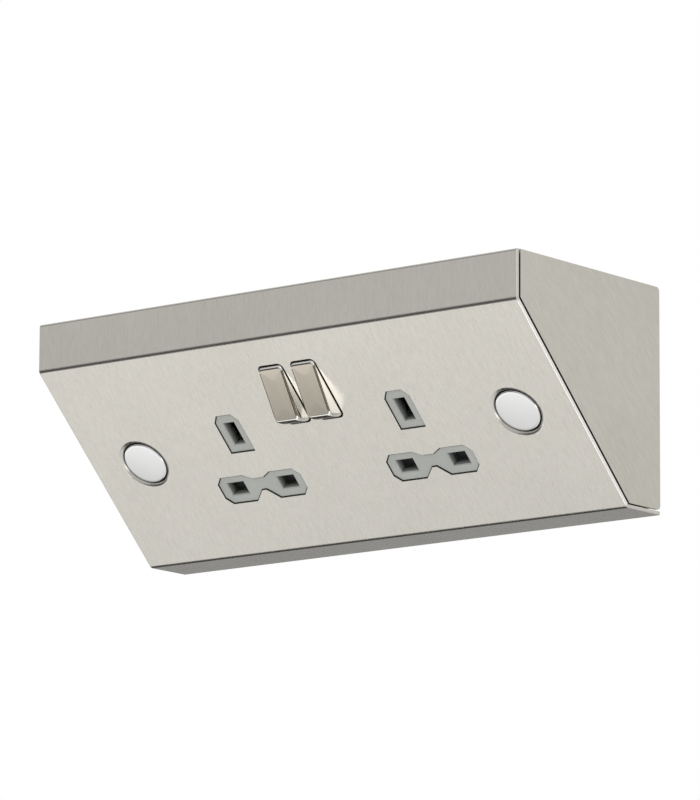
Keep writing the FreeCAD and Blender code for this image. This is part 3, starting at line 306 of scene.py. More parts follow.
    @staticmethod
    @cache
    def cupping() -> bpy.types.NodeTree:
        """Makes the mask of the insides of the two dimples, where the cover paints shade.

        Returns:
            The group: Cup rises from 0 at the depth Start to 1 at Full, within Radius of a point at Across
            on each side.
        """
        graph, given, end = Effects.group("cupping", {
            "Start": 0.35 * MM, "Full": 1.05 * MM, "Across": 81.2 * MM, "Radius": 9.4 * MM}, "Cup")
        across, up, below = Effects.plate_axes(graph, given["Vector"])
        beside = graph.maths("SUBTRACT", graph.maths("ABSOLUTE", across), given["Across"])
        square = graph.maths("MULTIPLY_ADD", beside, beside, graph.maths("MULTIPLY", up, up))
        near = graph.maths("LESS_THAN", graph.maths("SQRT", square), given["Radius"])
        depth = graph.span(below, given["Start"], given["Full"])
        graph.feed(end, {"Cup": graph.maths("MULTIPLY", depth, near)})
        return graph.tree


class Finish:
    """What every finish has: a material that is made once, with a graph and a place for its patterns."""

    name: str

    def begin(self) -> tuple[bpy.types.Material, Graph, bpy.types.Node, Socket]:
        """Starts the material.

        Returns:
            The material, its graph, its shader and the Object coordinates.
        """
        material = bpy.data.materials.new(self.name)
        material.use_nodes = True
        graph = Graph(material.node_tree)
        where = graph.add("ShaderNodeTexCoord").outputs["Object"]
        return material, graph, material.node_tree.nodes["Principled BSDF"], where

    def material(self) -> bpy.types.Material:
        """The finished material, made when it is first asked for."""
        return bpy.data.materials.get(self.name) or self.make()

    def make(self) -> bpy.types.Material:
        """Makes the material; each finish has its own way."""
        raise NotImplementedError


@dataclass(frozen=True)
class BrushedMetal(Finish):
    """Sheet metal brushed in one direction. Where a painted shade is given, walls below the sloping face and the
    dimples' insides take it, and the plate's side edges take a painted highlight.

    Dashes, lines and patches count per metre, a dash's length is in its own widths, and the relief is in metres.
    """

    name: str
    light: Colour
    dark: Colour
    roughness: float
    uneven: float
    grain: Grain
    dashes: float
    dash_length: float
    lines: float
    line_share: float
    relief: float
    metallic: float = 1.0
    patches: float = 26.0
    patch_share: float = 0.25
    painted_shade: Optional[Colour] = None
    # Painted highlight: the plate's side edges are coloured near-white, where a rounded edge would catch light.
    painted_edge_highlight: Colour = grey(0.95, 0.03)

    def make(self) -> bpy.types.Material:
        """Draws lines in colour, roughness and relief, with a soft unevenness over them.

        Returns:
            The material.
        """
        material, graph, shader, where = self.begin()
        about_x, about_z = self.grain.value
        turn = (math.radians(about_x), 0.0, math.radians(about_z))
        along = graph.add("ShaderNodeMapping", {"Vector": where, "Rotation": turn}).outputs[0]
        lines = graph.effect(Effects.brushing(), {
            "Vector": along, "Dashes": self.dashes, "Dash Length": self.dash_length, "Lines": self.lines,
            "Line Share": self.line_share})
        patch = graph.effect(Effects.clouding(), {"Vector": where, "Patches": self.patches})["Patch"]
        mottle = graph.weigh(patch, lines["Line"], self.patch_share)
        colour = graph.blend(mottle, self.dark, self.light)
        # Painted shade: near-black on walls sunk below the face and inside the dimples; painted highlight: a
        # near-white colour on the plate's side edges.
        if self.painted_shade is not None:
            walls = graph.effect(Effects.sinking(), {"Vector": where})
            cup = graph.effect(Effects.cupping(), {"Vector": where})["Cup"]
            shade = graph.maths("MAXIMUM", walls["Sunk"], cup)
            colour = graph.blend(shade, colour, self.painted_shade)
            colour = graph.blend(walls["Edge"], colour, self.painted_edge_highlight)
        graph.feed(shader, {
            "Base Color": colour,
            "Roughness": graph.span(mottle, 0.0, 1.0, self.roughness + self.uneven, self.roughness - self.uneven),
            "Normal": graph.relief(lines["Height"], self.relief),
            "Metallic": self.metallic,
        })
        return material


@dataclass(frozen=True)
class PittedFinish(Finish):
    """A finish with fine pits and broad clouds, which count per metre; the relief is in metres."""

    name: str
    light: Colour
    dark: Colour
    roughness: float
    uneven: float
    pits: float
    relief: float
    patches: float = 90.0
    pit_share: float = 0.4

    def texture(self, graph: Graph, where: Socket) -> tuple[Socket, Socket, Socket]:
        """Lays the clouds and pits over a surface.

        Args:
            graph: Graph of the material.
            where: Socket of the Object coordinates.

        Returns:
            The clouds, the clouds and pits together, and the normal.
        """
        patch = graph.effect(Effects.clouding(), {"Vector": where, "Patches": self.patches})["Patch"]
        pits = graph.effect(Effects.pitting(), {"Vector": where, "Pits": self.pits})
        return patch, graph.weigh(pits["Pit"], patch, self.pit_share), graph.relief(pits["Height"], self.relief)


@dataclass(frozen=True)
class BrightMetal(PittedFinish):
    """Polished, plated or drawn metal with faint pits and clouds."""

    def make(self) -> bpy.types.Material:
        """Lays clouds in the colour, and pits in the roughness and relief.

        Returns:
            The material.
        """
        material, graph, shader, where = self.begin()
        patch, both, normal = self.texture(graph, where)
        graph.feed(shader, {
            "Base Color": graph.blend(patch, self.dark, self.light),
            "Roughness": graph.span(both, 0.0, 1.0, self.roughness, self.roughness + self.uneven),
            "Normal": normal,
            "Metallic": 1.0,
        })
        return material


@dataclass(frozen=True)
class MouldedPlastic(PittedFinish):
    """Moulded plastic with the fine texture of its tool.

    Where a painted slot shade is given, slots fade to it between two depths below the sloping face, in
    millimetres,
    and keep it down to their floor: the slot walls darken with depth as painted shade.
    """

    patches: float = 60.0
    pit_share: float = 0.5
    painted_slot_shade: Optional[Colour] = None
    slot_start: float = 0.5
    slot_full: float = 3.8
    slot_floor: float = 4.15

    def make(self) -> bpy.types.Material:
        """Lays pits in colour, roughness and relief, with broad clouds of sheen.

        Returns:
            The material.
        """
        material, graph, shader, where = self.begin()
        both, normal = self.texture(graph, where)[1:]
        colour = graph.blend(both, self.dark, self.light)
        # Painted shade: the slots darken to near-black with depth.
        if self.painted_slot_shade is not None:
            slots = graph.effect(Effects.sinking(), {
                "Vector": where, "Start": self.slot_start * MM, "Full": self.slot_full * MM,
                "Floor": self.slot_floor * MM})
            colour = graph.blend(slots["Sunk"], colour, self.painted_slot_shade)
        graph.feed(shader, {
            "Base Color": colour,
            "Roughness": graph.span(both, 0.0, 1.0, self.roughness + self.uneven, self.roughness - self.uneven),
            "Normal": normal,
        })
        return material


# The cover's painted shade is the near-black colour of its sunk walls and dimple insides.
COVER_STEEL = BrushedMetal(
    "cover_brushed_steel", light=(0.715, 0.693, 0.640, 1.0), dark=(0.662, 0.640, 0.587, 1.0),
    roughness=0.26, uneven=0.03, grain=Grain.DOWN_THE_SHEET, dashes=1300.0, dash_length=5.0, lines=2600.0,
    line_share=0.30, relief=1e-7, painted_shade=(0.05, 0.047, 0.042, 1.0))
BOX_STEEL = BrushedMetal(
    "box_brushed_steel", light=(0.700, 0.678, 0.618, 1.0), dark=(0.585, 0.565, 0.508, 1.0),
    roughness=0.30, uneven=0.04, grain=Grain.BESIDE_THE_SLOPE, dashes=1000.0, dash_length=5.5, lines=2000.0,
    line_share=0.25, relief=6e-7)
ROCKER_SATIN = BrushedMetal(
    "rocker_satin_nickel", light=(0.80, 0.735, 0.620, 1.0), dark=(0.74, 0.675, 0.565, 1.0),
    roughness=0.34, uneven=0.03, grain=Grain.DOWN_THE_SHEET, dashes=2200.0, dash_length=12.0, lines=6000.0,
    line_share=0.5, relief=1e-6, metallic=0.65)
ROCKER_BRIGHT = BrightMetal(
    "rocker_bright_nickel", light=(0.93, 0.915, 0.875, 1.0), dark=(0.88, 0.865, 0.825, 1.0),
    roughness=0.05, uneven=0.04, pits=2500.0, relief=5e-7)
# Painted reflection: dark brown on the rocker caps' long rounded sides, standing in for the dark reflection there.
ROCKER_PAINTED_REFLECTION = BrightMetal(
    "rocker_painted_dark_reflection", light=(0.21, 0.18, 0.14, 1.0), dark=(0.17, 0.147, 0.115, 1.0),
    roughness=0.14, uneven=0.06, pits=2500.0, relief=5e-7)
CAP_CHROME = BrightMetal(
    "cap_bright_chrome", light=grey(0.72), dark=grey(0.69),
    roughness=0.05, uneven=0.04, pits=2000.0, relief=4e-7)
# Its slots darken with depth to a near-black painted shade.
FACE_PLASTIC = MouldedPlastic(
    "face_grey_plastic", light=(0.455, 0.470, 0.440, 1.0), dark=(0.385, 0.400, 0.372, 1.0),
    roughness=0.42, uneven=0.06, pits=3500.0, relief=6e-6, painted_slot_shade=(0.03, 0.03, 0.028, 1.0))
ROCKER_PLASTIC = MouldedPlastic(
    "rocker_black_plastic", light=grey(0.035), dark=grey(0.025),
    roughness=0.45, uneven=0.05, pits=5000.0, relief=6e-6)
BASE_PLASTIC = MouldedPlastic(
    "base_ivory_plastic", light=(0.62, 0.60, 0.54, 1.0), dark=(0.55, 0.53, 0.47, 1.0),
    roughness=0.48, uneven=0.06, pits=4000.0, relief=8e-6)
SHUTTER_PLASTIC = MouldedPlastic(
    "shutter_black_plastic", light=grey(0.022), dark=grey(0.014),
    roughness=0.50, uneven=0.05, pits=5000.0, relief=6e-6)
BUSH_PLASTIC = MouldedPlastic(
    "bush_black_plastic", light=grey(0.030), dark=grey(0.020),
    roughness=0.50, uneven=0.06, pits=3500.0, relief=1e-5)
BRASS = BrightMetal(
    "contact_brass", light=(0.78, 0.56, 0.24, 1.0), dark=(0.68, 0.46, 0.18, 1.0),
    roughness=0.24, uneven=0.14, pits=1500.0, relief=4e-6)
ZINC_STEEL = BrightMetal(
    "zinc_plated_steel", light=grey(0.66, -0.02), dark=grey(0.55, -0.01),
    roughness=0.26, uneven=0.14, pits=1800.0, relief=5e-6)
SPRING_STEEL = BrightMetal(
    "spring_drawn_steel", light=grey(0.52, 0.01), dark=grey(0.42, 0.02),
    roughness=0.24, uneven=0.12, pits=2500.0, relief=4e-6)
SILVER = BrightMetal(
    "contact_silver", light=grey(0.85, 0.01), dark=grey(0.74, 0.03),
    roughness=0.20, uneven=0.12, pits=2500.0, relief=4e-6)

# Finish of each solid that keeps its own shape.
NODE_FINISH: dict[str, Finish] = {
    "front_cover": COVER_STEEL,
    "back_box": BOX_STEEL,
    "box_earth_terminal": BRASS,
    "stud_nuts": ZINC_STEEL,
    "front_moulding": FACE_PLASTIC,
    "terminal_base": BASE_PLASTIC,
    "live_bar": BRASS,
    "neutral_strap": BRASS,
    "earth_strap": BRASS,
    "fixed_buttons": SILVER,
}
# The same for solids that each half has, by their names without the side.
SIDE_FINISH: dict[str, Finish] = {
    "live_contact": BRASS,
    "contact_arm": BRASS,
    "arm_button": SILVER,
    "rocker_body": ROCKER_PLASTIC,
    "plunger": BRASS,
    "shutter": SHUTTER_PLASTIC,
}


def rounded_rectangle(half_x: float, half_y: float, radius: float, steps: int) -> list[Pair]:
    """Points of a rectangle with round corners, counted counter-clockwise.

    Args:
        half_x: Half of its width.
        half_y: Half of its height.
        radius: Radius of the corners.
        steps: Points of each corner.

    Returns:
        The points, steps for each of the four corners.
    """
    points = []
    for quarter, (sx, sy) in enumerate(((1, 1), (-1, 1), (-1, -1), (1, -1))):
        for k in range(steps):
            angle = math.radians(90.0 * quarter + 90.0 * k / (steps - 1))
            points.append((sx * (half_x - radius) + radius * math.cos(angle),
                           sy * (half_y - radius) + radius * math.sin(angle)))
    return points


def quarter_round(steps: int) -> list[Pair]:
    """Points of a quarter circle of radius 1, as the distances from its start along and across it."""
    angles = (math.radians(90.0 * k / steps) for k in range(1, steps + 1))
    return [(math.sin(angle), 1.0 - math.cos(angle)) for angle in angles]


def eased(points: Sequence[Triple], steps: int) -> list[Pair]:
    """Rounds the corners of a profile.

    Args:
        points: Corners as (x, y, radius), with radius 0 for a sharp one.
        steps: Points of each rounded corner.

    Returns:
        The points of the eased profile, closed.
    """
    out = []
    for i, (x, y, radius) in enumerate(points):
        here = Vector((x, y))
        if radius == 0.0:
            out.append((x, y))
            continue
        before = (Vector(points[i - 1][:2]) - here).normalized()
        after = (Vector(points[(i + 1) % len(points)][:2]) - here).normalized()
        half = before.angle(after) / 2.0
        reach = radius / math.tan(half)
        centre = here + (before + after).normalized() * radius / math.sin(half)
        start = here + before * reach - centre
        stop = here + after * reach - centre
        turn = math.pi - 2.0 * half
        if start.x * stop.y < start.y * stop.x:
            turn = -turn
        for k in range(steps):
            angle = turn * k / (steps - 1)
            out.append((centre.x + start.x * math.cos(angle) - start.y * math.sin(angle),
                        centre.y + start.x * math.sin(angle) + start.y * math.cos(angle)))
    return out


def loft(bm: bmesh.types.BMesh, rings: Sequence[Sequence[Vector]], closed: bool) -> list[bmesh.types.BMFace]:
    """Joins rings of equal length with quads.

    Args:
        bm: Mesh that the faces go into.
        rings: Points of each ring.
        closed: Whether the last ring joins the first; otherwise a face closes each end.

    Returns:
        The quads, ring by ring.
    """
    rows = [[bm.verts.new(p) for p in ring] for ring in rings]
    faces = []
    for i in range(len(rows) if closed else len(rows) - 1):
        low, high = rows[i], rows[(i + 1) % len(rows)]
        for k in range(len(low)):
            n = (k + 1) % len(low)
            faces.append(bm.faces.new((low[k], low[n], high[n], high[k])))
    if not closed:
        bm.faces.new(list(reversed(rows[0])))
        bm.faces.new(rows[-1])
    return faces


def turned(profile: Sequence[Pair], segments: int) -> bmesh.types.BMesh:
    """Turns a closed profile once about the z axis.

    Args:
        profile: Points as (radius, z); points with radius 0 lie on the axis.
        segments: Segments round the axis.

    Returns:
        The closed mesh.
    """
    bm = bmesh.new()
    rings = [[Vector((r * math.cos(a), r * math.sin(a), z)) for r, z in profile]
             for a in (2.0 * math.pi * k / segments for k in range(segments))]
    loft(bm, rings, True)
    bmesh.ops.remove_doubles(bm, verts=bm.verts, dist=MERGE)
    bmesh.ops.dissolve_degenerate(bm, dist=MERGE, edges=bm.edges)
    bmesh.ops.delete(bm, geom=[edge for edge in bm.edges if not edge.link_faces], context="EDGES")
    return bm


def linked(name: str, data: Union[bpy.types.Mesh, bpy.types.Camera]) -> bpy.types.Object:
    """Adds an object to the scene, at the origin.

    Args:
        name: Name of the object.
        data: Its mesh or camera.

    Returns:
        The object.
    """
    made = bpy.data.objects.new(name, data)
    bpy.context.scene.collection.objects.link(made)
    return made


def meshed(name: str, bm: bmesh.types.BMesh) -> bpy.types.Object:
    """Adds an object of an edited mesh to the scene.

    Args:
        name: Name of the object and of its mesh.
        bm: The edited mesh, which is freed.

    Returns:
        The object.
    """
    mesh = bpy.data.meshes.new(name)
    bm.to_mesh(mesh)
    bm.free()
    return linked(name, mesh)


def settled(made: bpy.types.Object) -> bpy.types.Mesh:
    """Gives an object the plain mesh that its modifiers make, and removes them.

    Args:
        made: The object.

    Returns:
        Its new mesh.
    """
    result = bpy.data.meshes.new_from_object(made.evaluated_get(bpy.context.evaluated_depsgraph_get()))
    made.modifiers.clear()
    made.data = result
    return result


def smoothed(mesh: bpy.types.Mesh, sharp: float) -> None:
    """Shades a mesh smooth, but for edges that turn by more than the sharp angle, in degrees."""
    mesh.shade_smooth()
    mesh.set_sharp_from_angle(angle=math.radians(sharp))


def piece(name: str, bm: bmesh.types.BMesh, place: Matrix, finishes: Sequence[Finish],
          sharp: float = 35.0) -> bpy.types.Object:
    """Makes an object of a mesh whose sizes are in millimetres.

    Args:
        name: Name of the piece.
        bm: Its mesh, which is freed.
        place: Frame of the mesh in the row frame, in metres.
        finishes: Finishes in the order of the faces' material numbers.
        sharp: Edges that turn by more than this, in degrees, stay sharp.

    Returns:
        The object, at the origin, with its place in its mesh.
    """
    bmesh.ops.recalc_face_normals(bm, faces=bm.faces)
    bm.transform(place @ Matrix.Scale(MM, 4))
    made = meshed(name, bm)
    for finish in finishes:
        made.data.materials.append(finish.material())
    smoothed(made.data, sharp)
    return made


def carry(made: bpy.types.Object, body: str, slot: str, *nodes: str) -> None:
    """Lets a piece ride on a body in place of its solids, and reports it.

    Args:
        made: The piece.
        body: Body that it rides on.
        slot: Material slot that it belongs to; not used.
        *nodes: Solids that it stands for.
    """
    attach(made, body)
    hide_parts(*nodes)
    LOG.info("%s rides on %s, %d faces", made.name, body, len(made.data.polygons))


def cut(made: bpy.types.Object, tool: bmesh.types.BMesh, place: Matrix) -> None:
    """Cuts a shape out of a piece.

    Args:
        made: The piece that is cut.
        tool: Mesh of the shape, in millimetres, which is freed.
        place: Frame of the shape in the row frame.
    """
    tool.transform(place @ Matrix.Scale(MM, 4))
    cutter = meshed("cutter", tool)
    modifier = made.modifiers.new("cut", "BOOLEAN")
    modifier.object = cutter
    modifier.solver = "EXACT"
    settled(made)
    bpy.data.objects.remove(cutter)


@dataclass
class Rocker:
    """Plated cap of one switch: a dished satin face, bright rounded ends, and sides notched for the trunnions.

    Lengths are in millimetres, and heights count from the pivot.
    """

    side: Side
    spacing: float = 14.0
    rise: float = 19.85
    pivot_depth: float = 4.5
    tilt: float = 14.7
    half_width: float = 5.0
    half_length: float = 9.7
    reach: float = 7.9
    skirt: float = 2.0
    end_round: float = 1.5
    least_round: float = 0.25
    edge_round: float = 0.6
    wall: float = 0.8
    dish: float = 0.62
    face_insets: tuple[float, ...] = (0.7, 1.1, 1.7, 2.5, 3.3, 4.0, 4.5)
    hollow_middle: float = 4.0
    notch: float = 2.3
    notch_drop: float = 2.0
    corner_steps: int = 8
    wall_rows: int = 12
    round_rows: int = 6
    sharp: float = 40.0

    @property
    def place(self) -> Matrix:
        """Frame of the rocker at rest, with its origin on the pivot."""
        spot = (self.side.sign * self.spacing / 2 * MM, self.rise * MM, -self.pivot_depth * MM)
        return PLATE @ Matrix.Translation(spot) @ Matrix.Rotation(math.radians(-self.tilt), 4, "X")

    def ring(self, z: float, inset: float, dish: float) -> list[Vector]:
        """Outline of the cap at one height.

        Args:
            z: Height above the pivot.
            inset: How far the outline is drawn in.
            dish: Depth of the dish in the face.

        Returns:
            The ring's points, lowered by the dish near the face.
        """
        end = math.sqrt(self.half_length ** 2 + self.reach ** 2 - z ** 2)
        radius = max(self.end_round - inset, self.least_round)
        drawn = rounded_rectangle(self.half_width - inset, end - inset, radius, self.corner_steps)
        share = min(max((z - self.reach / 2) / (self.reach / 2 - self.edge_round), 0.0), 1.0)
        # Eased at both ends, so that the dish runs out softly down the sides.
        share = share * share * (3.0 - 2.0 * share)
        return [Vector((x, y, z - share * dish * max(0.0, 1.0 - (y / self.half_length) ** 2))) for x, y in drawn]

    def shell(self) -> bmesh.types.BMesh:
        """Makes the cap before it is notched, hollow and open below.

        Returns:
            Its mesh, with the material numbers of CapFace.
        """
        rise = self.reach - self.edge_round
        heights = [-self.skirt + (rise + self.skirt) * k / self.wall_rows for k in range(self.wall_rows + 1)]
        outer = [self.ring(z, 0.0, self.dish) for z in heights]
        outer += [self.ring(rise + self.edge_round * up, self.edge_round * inwards, self.dish)
                  for up, inwards in quarter_round(self.round_rows)]
        outer += [self.ring(self.reach, inset, self.dish) for inset in self.face_insets]
        inner = [self.ring(min(z, self.reach - self.wall), self.wall, 0.0)
                 for z in (heights[0], 0.0, self.hollow_middle, self.reach)]
        bm = bmesh.new()
        faces = loft(bm, outer, False)
        count = 4 * self.corner_steps
        round_from = self.wall_rows * count
        round_to = round_from + self.round_rows * count
        for face in faces[round_to:]:
            face.material_index = CapFace.SATIN
        # The rounds' long sides take the painted dark reflection.
        for start in range(round_from, round_to, count):
            for long_side in (count // 2 - 1, count - 1):
                faces[start + long_side].material_index = CapFace.EDGE
        bm.faces.ensure_lookup_table()
        bm.faces[-1].material_index = CapFace.SATIN
        bm.faces.remove(bm.faces[-2])
        inside = [[bm.verts.new(p) for p in ring] for ring in inner]
        bm.verts.ensure_lookup_table()
        mouth = [bm.verts[k] for k in range(count)]
        for low, high in zip([mouth] + inside, inside):
            for k in range(count):
                n = (k + 1) % count
                bm.faces.new((low[n], low[k], high[k], high[n]))
        bm.faces.new(inside[-1])
        return bm

    def build(self) -> None:
        """Makes the cap, notches it and puts it in the place of its solid."""
        finishes = (ROCKER_BRIGHT, ROCKER_SATIN, ROCKER_PAINTED_REFLECTION)
        cap = piece(f"rocker_cap_{self.side.value}_plated", self.shell(), self.place, finishes, self.sharp)
        tool = bmesh.new()
        bmesh.ops.create_cube(tool, size=1.0)
        size = (4 * self.half_width, 2 * self.notch, 2 * self.notch + self.notch_drop)
        bmesh.ops.scale(tool, verts=tool.verts, vec=size)
        bmesh.ops.translate(tool, verts=tool.verts, vec=(0.0, 0.0, -self.notch_drop / 2))
        cut(cap, tool, self.place)
        carry(cap, f"{self.side.value}_rocker", "rocker_nickel", f"rocker_cap_{self.side.value}")


@dataclass
class ScrewCap:
    """Bright push-in cap that hides a cover screw in its dimple; lengths are in millimetres."""

    side: Side
    spacing: float = 162.4
    radius: float = 8.25
    roof: float = -0.2
    dome: float = 0.1
    bevel: float = 0.45
    thick: float = 1.2
    skirt: float = 1.0
    foot: float = -3.6
    foot_bevel: float = 0.15
    roof_steps: int = 10
    round_steps: int = 6
    segments: int = 128

    def build(self) -> None:
        """Turns the cap and puts it in the place of its solid."""
        rim = self.radius - self.bevel
        profile = []
        for k in range(self.roof_steps + 1):
            r = rim * k / self.roof_steps
            profile.append((r, self.roof - self.dome * (r / rim) ** 2))
        edge = self.roof - self.dome
        profile += [(rim + self.bevel * out, edge - self.bevel * down)
                    for out, down in quarter_round(self.round_steps)]
        under = edge - self.thick
        inside = self.radius - self.skirt
        profile += [(self.radius, self.foot + self.foot_bevel), (self.radius - self.foot_bevel, self.foot),
                    (inside, self.foot), (inside, under), (0.0, under)]
        place = PLATE @ Matrix.Translation((self.side.sign * self.spacing / 2 * MM, 0.0, 0.0))
        name = f"screw_cap_{self.side.value}"
        cap = piece(f"{name}_bright", turned(profile, self.segments), place, (CAP_CHROME,))
        carry(cap, "housing", "cap_chrome", name)


@dataclass
class CableBush:
    """Plastic bush that lines the cable hole in the back, with a rounded mouth and flange.

    Lengths are in millimetres.
    """

    rise: float = 16.0
    bore: float = 8.0
    body: float = 10.0
    flange: float = 12.5
    sheet: float = 1.2
    flange_thick: float = 1.6
    mouth_round: float = 0.5
    rim_round: float = 0.2
    flange_round: float = 0.6
    throat_round: float = 0.7
    round_steps: int = 6
    segments: int = 72

    def build(self) -> None:
        """Turns the bush and puts it in the place of its solid."""
        back = self.sheet + self.flange_thick
        profile = eased([
            (self.bore, 0.0, self.mouth_round),
            (self.body, 0.0, self.rim_round),
            (self.body, self.sheet, 0.0),
            (self.flange, self.sheet, self.rim_round),
            (self.flange, back, self.flange_round),
            (self.bore, back, self.throat_round),
        ], self.round_steps)
        place = Matrix.Translation((0.0, 0.0, self.rise * MM)) @ Matrix.Rotation(math.radians(90.0), 4, "X")
        bush = piece("cable_bush_rounded", turned(profile, self.segments), place, (BUSH_PLASTIC,))
        carry(bush, "housing", "bush_plastic", "cable_bush")


class ShapeTree:
    """Geometry Nodes tree that sets one shape, made from named lengths, on every point of a mesh."""

    name: str = ""
    lengths: tuple[str, ...] = ()
    sharp: float = 40.0

    def __init__(self) -> None:
        """Builds the tree and keeps the identifiers of its inputs."""
        self.tree = bpy.data.node_groups.new(self.name, "GeometryNodeTree")
        face = self.tree.interface
        kinds = {"Geometry": "NodeSocketGeometry", **dict.fromkeys(self.lengths, "NodeSocketFloat"),
                 "Turn": "NodeSocketVector", "Material": "NodeSocketMaterial"}
        self.inputs = {name: face.new_socket(name, in_out="INPUT", socket_type=kind).identifier
                       for name, kind in kinds.items()}
        face.new_socket("Geometry", in_out="OUTPUT", socket_type="NodeSocketGeometry")
        self.graph = Graph(self.tree)
        self.given = self.graph.add("NodeGroupInput").outputs
        spread = self.graph.add("GeometryNodeInstanceOnPoints", {
            "Points": self.given["Geometry"], "Instance": self.shape(), "Rotation": self.given["Turn"]})
        real = self.graph.add("GeometryNodeRealizeInstances", {0: spread.outputs[0]})
        dressed = self.graph.add("GeometryNodeSetMaterial", {
            "Geometry": real.outputs[0], "Material": self.given["Material"]})
        self.graph.add("NodeGroupOutput", {0: dressed.outputs[0]})

    def shape(self) -> Socket:
        """Geometry of the shape, standing on its origin along z."""
        raise NotImplementedError

    def run(self, name: str, places: Sequence[Vector], turn: Matrix, lengths: Sequence[float],
            finish: Finish) -> bpy.types.Object:
        """Makes the shapes as one plain mesh.

        Args:
            name: Name of the piece.
            places: Points of the row frame, in metres.
            turn: How each shape is turned from the row frame.
            lengths: The tree's named lengths in their order, in millimetres.
            finish: Their finish.

        Returns:
            The object, at the origin, with no modifier left.
        """
        mesh = bpy.data.meshes.new(name)
        mesh.from_pydata(list(places), [], [])
        made = linked(name, mesh)
        modifier = made.modifiers.new(self.name, "NODES")
        modifier.node_group = self.tree
        for title, length in zip(self.lengths, lengths, strict=True):
            modifier[self.inputs[title]] = length * MM
        modifier[self.inputs["Turn"]] = tuple(turn.to_euler())
        modifier[self.inputs["Material"]] = finish.material()
        smoothed(settled(made), self.sharp)
        return made


@dataclass(frozen=True)
class ScrewSize:
    """Sizes of a screw or stud, in millimetres, in the order of its tree's lengths."""

    radius: float
    length: float
    pitch: float
    point: float
    head_radius: float
    head_height: float
    slot_width: float
    slot_depth: float = 0.0


